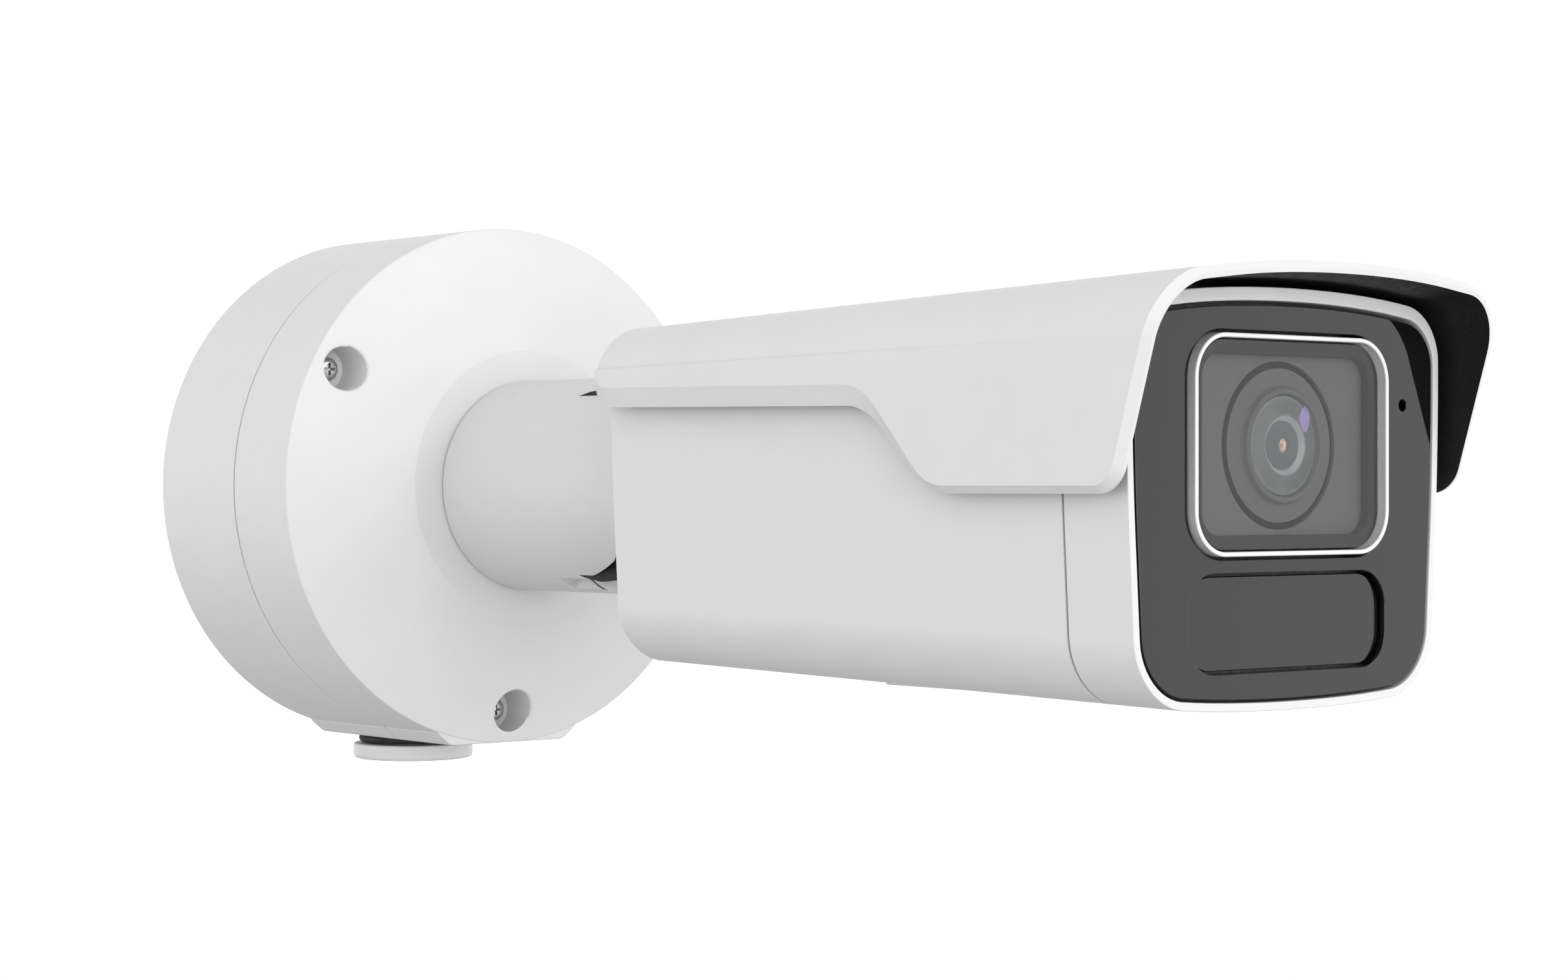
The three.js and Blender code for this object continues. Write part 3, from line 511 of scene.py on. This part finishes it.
def make_cover_screw(number, x, z):
    screw = revolve([(0, -55), (1.9, -55, 0.4), (2.9, -54.3, 0.3), (2.9, -52.5), (2, -52.5),
                     (2, -24, 0.4), (0, -24)], 48)
    screw = minus(screw, cross(1.75, 0.38, -56, -53.4))
    bmesh.ops.translate(screw, verts=screw.verts, vec=(x, 0, z))
    name = f"cover_screw_{number}"
    keep(screw, f"{name}_machined", "junction_box", "stainless_steel", [STEEL], name)


def make_conduit_plug():
    plug = revolve([(0, 0), (15.6, 0, 1.1), (15.6, 4, 0.5), (10.2, 4, 0.4), (10.2, 10.9),
                    (8.2, 10.9), (8.2, 3), (0, 3)], 96, (0, PLUG_Y, -71.5), "Z")
    coin_slot = block((-9, 9), (-17.7, -15.7), (-73, -70.3))
    keep(minus(plug, coin_slot), "conduit_plug_moulding", "junction_box", "white_enamel",
         [ENAMEL], "conduit_plug")
    ring = revolve([(10.9, 0, 0.8), (14.2, 0, 0.8), (14.2, 1.8, 0.8), (10.9, 1.8, 0.8)], 96,
                   (0, PLUG_Y, -67.1), "Z")
    keep(ring, "plug_seal", "junction_box", "black_rubber", [RUBBER], "plug_o_ring")


def make_cable_grommet():
    bush = revolve([(4, -7, 0.5), (9, -7, 0.6), (14.5, -5.6, 0.5), (14.5, -3.8, 0.4),
                    (11.7, -3.8, 0.3), (11.7, -0.6, 0.5), (4, -0.6, 0.6)], 72, CABLE_AT)
    keep(bush, "cable_bush", "junction_box", "black_rubber", [RUBBER], "cable_grommet")


# ---------------------------------------------------------------- arm and tilt joint

TILT_AT = (0, -120, 0)
SWIVEL_AT = (0, 0, 3.8)
ARM_RADIUS = 26.15
FORK_HALF = 13.3  # half the gap between the arm's cheeks
TREAD_HALF = 8.5
BOLT_HOLE = 4.3


def make_arm():
    arm = revolve([(0, -150), (ARM_RADIUS, -150), (ARM_RADIUS, -69.6, 0.4), (19.9, -69.6),
                   (19.9, -58, 0.4), (0, -58)], 144)
    side = plate([(-57, -26.2), (-57, 26.2), (-146.2, 26.2, 26.2), (-146.2, -26.2, 26.2)],
                 -30, 30, "X", 24)
    arm = common(arm, side)
    bore = rod(17.5, -74, -57, steps=64)
    hollow = rod(20, -104, -72.6, steps=64)
    across = (-FORK_HALF, FORK_HALF)
    slot = union(block(across, (-150, -116.5), (-22.3, 30)),
                 block(across, (-120, -109.5), (-22.3, 0)))
    swing = rod(26.1, -TREAD_HALF - 0.3, TREAD_HALF + 0.3, "X", TILT_AT, 96)
    drum_room = rod(22.6, *across, "X", TILT_AT, 96)
    discs = rod(23, -15.2, 15.2, "X", TILT_AT, 96)
    arm = minus(arm, bore, hollow, slot, swing, drum_room, discs)
    for sign in (-1, 1):
        flare = [(12.3, -109.5), (FORK_HALF, -109.5), (15.3, -117.8, 4), (17.5, -125),
                 (19.4, -131), (24, -140), (24, -155), (12.3, -155)]
        cheek = plate([(sign * x, *rest) for x, *rest in flare], -21.5, -10, "Z")
        ends = sorted((sign * 30, sign * TREAD_HALF))
        pocket = plate([(-160, -22.2), (-101, -22.2, 1.8), (-101, -26.6, 1.8), (-160, -26.6)],
                       ends[0], ends[1], "X")
        arm = minus(arm, cheek, pocket)
    arm = minus(arm, rod(BOLT_HOLE, -19.3, 30, "X", TILT_AT, 32),
                rod(7.3, 20, 30, "X", TILT_AT, 48))
    keep(arm, "arm_casting", "arm", "white_enamel", [ENAMEL], "arm")


def make_knuckle():
    """Neck and spigot in white, with a black drum between the arm's cheeks as painted shade
    for the slot there.
    """
    neck = revolve([(0, -150.2), (12.4, -150.2), (12.4, -120), (0, -120)], 72, SWIVEL_AT)
    tread = rod(25.8, -TREAD_HALF, TREAD_HALF, "X", TILT_AT, 144, 0.4)
    collar = revolve([(0, -152.2), (16.3, -152.2), (17.5, -151.4, 0.4), (17.5, -149.8, 0.4),
                      (16.7, -149), (0, -149)], 96, SWIVEL_AT)
    spigot = rod(15, -171, -152, at=SWIVEL_AT, steps=72, edge=0.5)
    knuckle = union(neck, tread, collar, spigot)
    cable_way = block((-7.5, 7.5), (-132, -90), (5.5, 14))
    knuckle = minus(knuckle, cable_way, rod(9, -172, -129, at=SWIVEL_AT, steps=48),
                    rod(BOLT_HOLE, -14, 14, "X", TILT_AT, 32))
    keep(knuckle, "knuckle_casting", "knuckle", "white_enamel", [ENAMEL], "knuckle")
    for name, low, high in (("left", -13, -8.6), ("right", 8.6, 13)):
        drum = rod(22.3, low, high, "X", TILT_AT, 96, 0.4)
        drum = minus(drum, rod(BOLT_HOLE, -14, 14, "X", TILT_AT, 32),
                     rod(12.6, -160, -125, at=SWIVEL_AT, steps=48))
        # the drums are black as painted shade: they darken the slot between the arm's cheeks
        keep(drum, f"tilt_drum_{name}", "knuckle", "black_plastic", [PLASTIC], "knuckle")


def make_tilt_bolt():
    bolt = union(rod(4, -19, 21, "X", TILT_AT, 48, 0.5),
                 rod(7, 20.3, 24.5, "X", TILT_AT, 64, 0.7))
    socket = rod(3.3, 21.6, 26, "X", TILT_AT, 6)
    keep(minus(bolt, socket), "tilt_bolt_machined", "arm", "stainless_steel", [STEEL],
         "tilt_bolt")


# ---------------------------------------------------------------- camera body

BODY_FRONT, BODY_REAR = -319.5, -162
SIDE_TAPER, TOP_TAPER, UNDER_TAPER = 0.028, 0.132, 0.062
HOUSING_FRONT, FRAME_REAR = -302.2, -302.8
HOOD_REAR, HOOD_TIP = -164, -334.2
HOOD_REAR_TOP, HOOD_RISE, HOOD_TIP_TOP = 37.2, 5.0, 42.2
HOOD_SCREWS = (-205, -282)
HATCH_SCREWS = (-258.5, -225.5)
PANEL_FACE = -319.4
MICROPHONE_AT = (33.6, 0, 15.8)
LENS_AT = (0, 0, 7.65)
THROUGH = (-330, -300)  # the length of a tool that goes right through the front


def body_corners(inset=0.0, top_inset=None):
    """Section of the body at its front: arched top, sides leaning in, round lower corners."""
    top = inset if top_inset is None else top_inset
    half, low_half = 44.6 - inset, 41.95 - inset
    return [(-low_half, -40.6 + inset, 12.2 - inset), (0, -44.2 + inset, 30),
            (low_half, -40.6 + inset, 12.2 - inset), (half, 6, 14),
            (half, 34.3 - top, 9.6 - inset), (0, 40.2 - top, 33),
            (-half, 34.3 - top, 9.6 - inset), (-half, 6, 14)]


def taper(bm):
    """Draws the body in towards its rear end."""
    for point in bm.verts:
        share = (point.co.y - BODY_FRONT) / (BODY_REAR - BODY_FRONT)
        point.co.x *= 1 - SIDE_TAPER * share
        point.co.z *= 1 - (TOP_TAPER if point.co.z > 0 else UNDER_TAPER) * share
    return bm


def body_block(inset, low, high, top_inset=None):
    return taper(plate(body_corners(inset, top_inset), low, high, segments=12))


def hood_top_at(y):
    return HOOD_REAR_TOP + HOOD_RISE * (y - HOOD_REAR) / (HOOD_TIP - HOOD_REAR)


def make_main_housing():
    body = body_block(0, HOUSING_FRONT, BODY_REAR)
    soften(body, 0.9, lambda middle: middle.y > -162.1)
    soften(body, 0.25, lambda middle: middle.y < -302.1)
    boss = plate(rounded(35.9, -16.4, 24.0, 20.15), -165, -152.5, segments=24)
    soften(boss, 0.8, lambda middle: middle.y > -152.6)
    body = union(body, boss)
    cavity = body_block(2.5, -303.2, -165)
    seal_seat = body_block(1, -303.2, -300.9)
    bore = rod(15.3, -167, -150, at=SWIVEL_AT, steps=72)
    body = minus(body, cavity, seal_seat, bore)
    hatch_frame = block((-20, 20), (-266, -218), (-40.6, -36.6))
    screw_bosses = [rod(4.5, hood_top_at(y) - 11, hood_top_at(y) - 3.4, "Z", (0, y, 0), 32)
                    for y in HOOD_SCREWS]
    body = union(body, hatch_frame, *screw_bosses)
    recess = plate(rounded(17.3, -262.3, -221.7, 2), -50, -39, "Z")
    way = block((-12, 12), (-254, -230), (-50, -30))
    holes = [rod(1.8, -45, -37.4, "Z", (0, y, 0), 24) for y in HATCH_SCREWS]
    threads = [rod(2.1, hood_top_at(y) - 9, 50, "Z", (0, y, 0), 24) for y in HOOD_SCREWS]
    body = minus(body, recess, way, *holes, *threads)
    keep(body, "main_housing_casting", "camera", "white_enamel", [ENAMEL], "main_housing")


def window_corners(grow=0.0):
    return rounded(27.7 + grow, -13.3 - grow, 28.6 + grow, 8.5 + grow)


def lamp_corners(grow=0.0):
    return rounded(28.1 + grow, -35.3 - grow, -16.5 + grow, 7 + grow)


def pocket_painted_shade(face):
    """Painted shade: the floor and the inward-facing walls behind the panel's edge, which
    take black so the gap round the panel reads dark.
    """
    middle, way = face.calc_center_median(), face.normal
    inward = way.x * middle.x + way.z * middle.z < -0.2 * middle.length
    return middle.y > -319.3 and (way.y < -0.9 or inward)


def make_front_frame():
    wall = body_block(0, BODY_FRONT, FRAME_REAR)
    soften(wall, 0.7, lambda middle: middle.y < -319.4, segments=4)
    soften(wall, 0.25, lambda middle: middle.y > -302.9)
    lip = body_block(2.8, -304, -298.5)
    wall = union(wall, lip)
    pocket = body_block(1.6, -321, -314.7, 2.5)
    hollow = body_block(4.5, -311, -297)
    ways = [plate(window_corners(-2.2), *THROUGH), plate(lamp_corners(-1.2), *THROUGH),
            rod(1.1, *THROUGH, at=MICROPHONE_AT, steps=24)]
    wall = minus(wall, pocket, hollow, *ways)
    soften(wall, 0.25, lambda middle: middle.y < -319.4, 60, 2)
    # the pocket's floor and inner walls take the black finish as painted shade for the gap
    # round the panel
    paint(wall, 1, pocket_painted_shade)
    keep(wall, "front_frame_casting", "camera", "white_enamel", [ENAMEL, PLASTIC],
         "front_frame")


def make_front_panel():
    panel = body_block(2.15, PANEL_FACE, -316.2, 3.3)
    ways = [plate(window_corners(0.6), *THROUGH), plate(lamp_corners(), *THROUGH),
            rod(1.1, *THROUGH, at=MICROPHONE_AT, steps=32)]
    panel = minus(panel, *ways)
    soften(panel, 0.22, lambda middle: middle.y < -319.3, 60, 2)
    keep(panel, "front_panel_cover", "camera", "smoked_panel", [PANEL], "front_panel")


def ring(outer, inner, low, high, edge=0.0):
    """A flat frame between two outlines, softened on its front edges."""
    made = minus(plate(outer, low, high, segments=16),
                 plate(inner, low - 1, high + 1, segments=16))
    if edge:
        soften(made, edge, lambda middle: middle.y < low + 0.01, 60, 2)
    return made


def make_lens_window():
    bezel = ring(window_corners(), window_corners(-0.9), -320.9, -315.0, 0.3)
    paint(bezel, 1, lambda face: abs(face.normal.y) < 0.2)
    keep(bezel, "window_bezel_ring", "camera", "bezel_enamel", [BEZEL_ENAMEL, BEZEL_SIDE],
         "window_bezel")
    glass = plate(window_corners(-1.2), -320.5, -319.3, segments=16)
    soften(glass, 0.12, segments=2, degrees=60)
    keep(glass, "lens_window_glass", "camera", "window_glass", [GLASS], "lens_window")
    inner = ring(window_corners(-1.2), window_corners(-3.9), -319, -317.1, 0.3)
    keep(inner, "window_inner_frame", "camera", "window_frame_black", [FRAME_BLACK],
         "window_frame")
    mask = minus(plate(window_corners(-1.2), -316.8, -316.1, segments=16),
                 rod(16.1, *THROUGH, at=LENS_AT, steps=96))
    soften(mask, 0.15, lambda middle: middle.y < -316.7, 60, 2)
    keep(mask, "lens_baffle", "camera", "mask_grey", [GREY], "lens_mask")


def make_lamp_window():
    front = plate(lamp_corners(-0.6), -318, -315.5, segments=16)
    flange = plate(lamp_corners(1.2), -315.9, -315.0, segments=16)
    soften(front, 0.15, lambda middle: middle.y < -317.9, 60, 2)
    window = union(front, flange)
    paint(window, 1, lambda face: face.calc_center_median().y > -317.7)
    keep(window, "infrared_window", "camera", "smoked_panel", [PANEL, PLASTIC], "ir_window")


# ---------------------------------------------------------------- lens

CELL_RIDGES = 12


def on_inner_cone(face):
    """The cone that leads from the ridges down to the inner lenses, painted lighter than the
    rest of the cell as painted light.
    """
    middle = face.calc_center_median()
    reach = hypot(middle.x, middle.z - LENS_AT[2])
    return -318.25 < middle.y < -317.5 and reach < 5.72


def make_lens():
    barrel = revolve([(9.7, -318.0, 0.1), (9.95, -318.5, 0.15), (10.9, -318.5, 0.35),
                      (11.3, -317.3, 0.5), (14.8, -316.8, 0.15), (14.8, -302), (19, -300),
                      (19, -252), (17.2, -252), (17.2, -298.2), (13, -300.5), (13, -308),
                      (9.7, -308.5)], 96, LENS_AT)
    paint(barrel, 1, lambda face: face.calc_center_median().y < -316.7)
    keep(barrel, "lens_barrel_turned", "camera", "black_plastic", [PLASTIC, GREY],
         "lens_barrel")
    front = revolve([(0, -319.05), (3.2, -318.96, 2), (6.4, -318.7, 2), (9.6, -318.25, 0.05),
                     (9.6, -317.8), (0, -318.45)], 128, LENS_AT)
    keep(front, "front_lens", "camera", "lens_glass", [COATED], "front_element")
    ridges = []
    for count in range(CELL_RIDGES):
        reach = 9.4 - 0.28 * count
        level = -317.75 - 0.045 * count
        ridges += [(reach, level), (reach - 0.2, level - 0.08), (reach - 0.22, level - 0.01)]
    cone = [(5.75, -318.3, 0.05), (4.7, -317.5, 0.05), (4.7, -313), (9.4, -313)]
    cell = revolve(ridges + cone, 128, LENS_AT)
    # the inner cone takes the lighter copy as painted light
    paint(cell, 1, on_inner_cone)
    keep(cell, "lens_cell", "camera", "black_plastic", [CELL_BLACK, CELL_PAINTED_LIGHT])
    # the iris ring is near-black as painted shade for the lens's dark pupil
    iris = revolve([(1.5, -318.15, 0.1), (3.1, -318.0, 1), (4.6, -317.6, 0.1),
                    (4.6, -316.8), (1.5, -317.2)], 96, LENS_AT)
    keep(iris, "iris_glass", "camera", "black_plastic", [PUPIL_PAINTED_SHADE])
    # the inner lens is coloured amber as a painted glint
    inner = revolve([(0, -317.9), (0.8, -317.8, 0.3), (1.4, -317.5), (1.4, -316.9),
                     (0, -316.9)], 64, LENS_AT)
    keep(inner, "inner_lens", "camera", "lens_glass", [AMBER_PAINTED_GLINT])


# ---------------------------------------------------------------- sunshield

ROOF_FROM = 25  # the roof's fall fades out below this height
SKIRT_STEP = -270.3  # where the lower edge starts to climb towards the rear
SKIRT_LIFT, SKIRT_STEP_LENGTH = 2.7, 18.7
SCREW_SLOT, SCREW_GROOVE = 2.3, 4.5  # half widths of a slot and of the groove round it
GROOVE_DEPTH = 1.2


def hood_corners(inset=0.0):
    half, shoulder, crown = 49.6 - inset, 38.3 - inset, 43.95 - inset
    return [(-half, -20), (half, -20), (half, shoulder, 12 - inset), (0, crown, 30),
            (-half, shoulder, 12 - inset)]


def slope(bm):
    """Lets the roof fall towards the rear end."""
    for point in bm.verts:
        if point.co.z > 0:
            drop = hood_top_at(point.co.y) - HOOD_TIP_TOP
            point.co.z += drop * min(point.co.z / ROOF_FROM, 1)
    return bm


def make_sunshield():
    outer = slope(plate(hood_corners(), -345, -150, segments=16))
    side = plate([(-162.6, 60), (-339.7, 60), (-320.76, -1.5, 5), (SKIRT_STEP, -1.5, 5),
                  (-251.6, 15.75, 5), (-162.6, 17.1, 5)], -60, 60, "X", 12)
    hood = common(outer, paint(side, 1))
    rim = [edge for edge in hood.edges if len(edge.link_faces) == 2
           and {face.material_index for face in edge.link_faces} == {0, 1}]
    bmesh.ops.bevel(hood, geom=rim, offset=1.5, offset_type="OFFSET", affect="EDGES",
                    segments=1, profile=0.5, material=0, clamp_overlap=True)
    paint(hood, 0)
    for point in hood.verts:
        on_skirt = abs(point.co.x) > 49.5 and point.co.z < ROOF_FROM
        if on_skirt and point.co.y > SKIRT_STEP:
            point.co.z += SKIRT_LIFT * min((point.co.y - SKIRT_STEP) / SKIRT_STEP_LENGTH, 1)
    inner = slope(plate(hood_corners(2.2), -346, -149, segments=16))
    hood = minus(hood, paint(inner, 1))
    for y in HOOD_SCREWS:
        slot = plate(rounded(SCREW_SLOT, y - 13, y + 17.5, 2.29), 20, 60, "Z")
        groove = plate(rounded(SCREW_GROOVE, y - 15.3, y + 19.8, 4.49), 0, 60, "Z")
        for point in groove.verts:
            if point.co.z < 30:
                point.co.z = hood_top_at(point.co.y) - GROOVE_DEPTH
        hood = minus(hood, slot, groove)
    keep(hood, "sunshield_sheet", "sunshield", "white_enamel", [ENAMEL, LINING], "sunshield",
         crease=14)


def make_hood_screw(number, y):
    seat = hood_top_at(y) - 0.7
    head = rod(4.2, seat, seat + 0.9, "Z", (0, y, 0), 64, 0.25)
    shank = rod(1.8, seat - 7.9, seat + 0.3, "Z", (0, y, 0), 32, 0.4)
    screw = minus(union(head, shank), rod(1.3, seat - 0.6, seat + 3, "Z", (0, y, 0), 6))
    name = f"hood_screw_{number}"
    keep(screw, f"{name}_machined", "camera", "stainless_steel", [STEEL], name)


def make_hatch():
    cover = plate(rounded(17, -262, -222, 1.7), -41.9, -40.3, "Z")
    soften(cover, 0.4, lambda middle: middle.z < -41.8)
    holes = [rod(1.8, -50, -30, "Z", (0, y, 0), 24) for y in HATCH_SCREWS]
    keep(minus(cover, *holes), "service_hatch_cover", "camera", "white_enamel", [ENAMEL],
         "service_hatch")
    for number, y in enumerate(HATCH_SCREWS, 1):
        head = revolve([(0, -43.3), (1.9, -43.3, 0.3), (2.8, -42.7, 0.2), (2.8, -42.2),
                        (0, -42.2)], 48, (0, y, 0), "Z")
        shank = rod(1.5, -42.5, -37.8, "Z", (0, y, 0), 24)
        tool = lay(cross(1.5, 0.3, -1.3, 1.3), "Z")
        bmesh.ops.translate(tool, verts=tool.verts, vec=(0, y, -43.5))
        name = f"hatch_screw_{number}"
        keep(minus(union(head, shank), tool), f"{name}_machined", "camera",
             "stainless_steel", [STEEL], name)


# ---------------------------------------------------------------- the object

SLOT_FINISH = {
    "white_enamel": ENAMEL, "bezel_enamel": BEZEL_ENAMEL, "black_rubber": RUBBER,
    "stainless_steel": STEEL, "smoked_panel": PANEL, "window_frame_black": FRAME_BLACK,
    "mask_grey": GREY, "window_glass": GLASS, "lens_glass": COATED, "black_plastic": PLASTIC,
    "emitter_resin": RESIN, "circuit_board": BOARD, "bare_aluminium": ALUMINIUM,
}


def finish_cad_nodes():
    """Gives every CAD node the finish of its material slot."""
    for subpart in frame["record"]["subparts"]:
        mesh = bpy.data.objects[subpart["node"]].data
        mesh.materials.clear()
        mesh.materials.append(SLOT_FINISH[subpart["material_slot"]])


def make_object():
    make_rear_shell()
    make_front_shell()
    for number, (x, z) in enumerate(SCREW_SPOTS, 1):
        make_cover_screw(number, x, z)
    make_conduit_plug()
    make_cable_grommet()
    make_arm()
    make_knuckle()
    make_tilt_bolt()
    make_main_housing()
    make_front_frame()
    make_front_panel()
    make_lens_window()
    make_lamp_window()
    make_lens()
    make_sunshield()
    for number, y in enumerate(HOOD_SCREWS, 1):
        make_hood_screw(number, y)
    make_hatch()


# ---------------------------------------------------------------- studio

FLOOR_RADIUS, FLOOR_AT = 3, (0, -0.2, -0.55)
AIM = Vector((0, -0.3, 0))
SKY_STRENGTH = 1.56
UPRIGHT, HEADING = radians(90), radians(-39.89)


def make_floor():
    """A round pale floor that lightens towards its edge."""
    bm = bmesh.new()
    bmesh.ops.create_circle(bm, cap_ends=True, radius=FLOOR_RADIUS, segments=96)
    bmesh.ops.translate(bm, verts=bm.verts, vec=FLOOR_AT)
    mesh = bpy.data.meshes.new("studio_floor")
    bm.to_mesh(mesh)
    bm.free()
    made, tree, shader = blank("studio_floor", (0.5, 0.5, 0.5), 0.9)
    reach = tree.nodes.new("ShaderNodeVectorMath")
    reach.operation = "LENGTH"
    spread = tree.nodes.new("ShaderNodeMapRange")
    spread.interpolation_type = "SMOOTHSTEP"
    spread.inputs["From Min"].default_value = 0.6
    spread.inputs["From Max"].default_value = 2.4
    where = tree.nodes.new("ShaderNodeTexCoord").outputs["Object"]
    tree.links.new(where, reach.inputs[0])
    tree.links.new(reach.outputs["Value"], spread.inputs["Value"])
    tint(tree, shader, spread.outputs["Result"], (0.46, 0.46, 0.46), (1, 1, 1))
    polish(tree, shader, grain(tree, 3), 0.85, 0.95)
    mesh.materials.append(made)
    floor = bpy.data.objects.new("studio_floor", mesh)
    bpy.context.scene.collection.objects.link(floor)


def add_softbox(name, place, size, energy, shape="SQUARE", colour=(1, 1, 1)):
    light = bpy.data.lights.new(name, "AREA")
    light.shape = shape
    light.size = size
    light.energy = energy
    light.color = colour
    lamp = bpy.data.objects.new(name, light)
    direction = AIM - Vector(place)
    lamp.location = place
    lamp.rotation_euler = direction.to_track_quat("-Z", "Y").to_euler()
    bpy.context.scene.collection.objects.link(lamp)


def light_studio():
    """White all round at eye level, dimmer towards the ceiling and the ground."""
    world = bpy.data.worlds.new("studio")
    world.use_nodes = True
    nodes, links = world.node_tree.nodes, world.node_tree.links
    axes = nodes.new("ShaderNodeSeparateXYZ")
    height = nodes.new("ShaderNodeMapRange")
    height.inputs["From Min"].default_value = -1.0
    height.inputs["From Max"].default_value = 1.0
    ramp = nodes.new("ShaderNodeValToRGB")
    stops = ramp.color_ramp.elements
    stops[0].position, stops[0].color = 0.3, (0.38, 0.38, 0.38, 1)
    stops[1].position, stops[1].color = 0.75, (0.58, 0.58, 0.58, 1)
    for position in (0.41, 0.59):
        stops.new(position).color = (1, 1, 1, 1)
    links.new(nodes.new("ShaderNodeTexCoord").outputs["Generated"], axes.inputs["Vector"])
    links.new(axes.outputs["Z"], height.inputs["Value"])
    links.new(height.outputs["Result"], ramp.inputs["Fac"])
    links.new(ramp.outputs["Color"], nodes["Background"].inputs["Color"])
    nodes["Background"].inputs["Strength"].default_value = SKY_STRENGTH
    bpy.context.scene.world = world
    add_softbox("key_softbox", (0.9, -2.0, 0.95), 0.8, 9)
    add_softbox("front_softbox", (-0.8, -2.5, 0.3), 1.2, 19)
    add_softbox("spark_lamp", (1.36, -1.1, 0.19), 0.15, 0.5, "DISK", (0.6, 0.35, 1.0))
    bpy.context.scene.view_settings.view_transform = "Standard"


def set_camera():
    lens = bpy.data.cameras.new("view")
    lens.lens = 72.59
    lens.sensor_width = 36
    lens.shift_y = -0.00248
    camera = bpy.data.objects.new("view", lens)
    camera.location = (-0.46003, -0.71967, 0)
    camera.rotation_euler = (UPRIGHT, 0, HEADING)
    bpy.context.scene.collection.objects.link(camera)
    bpy.context.scene.camera = camera


set_camera()
finish_cad_nodes()
make_object()
make_floor()
light_studio()
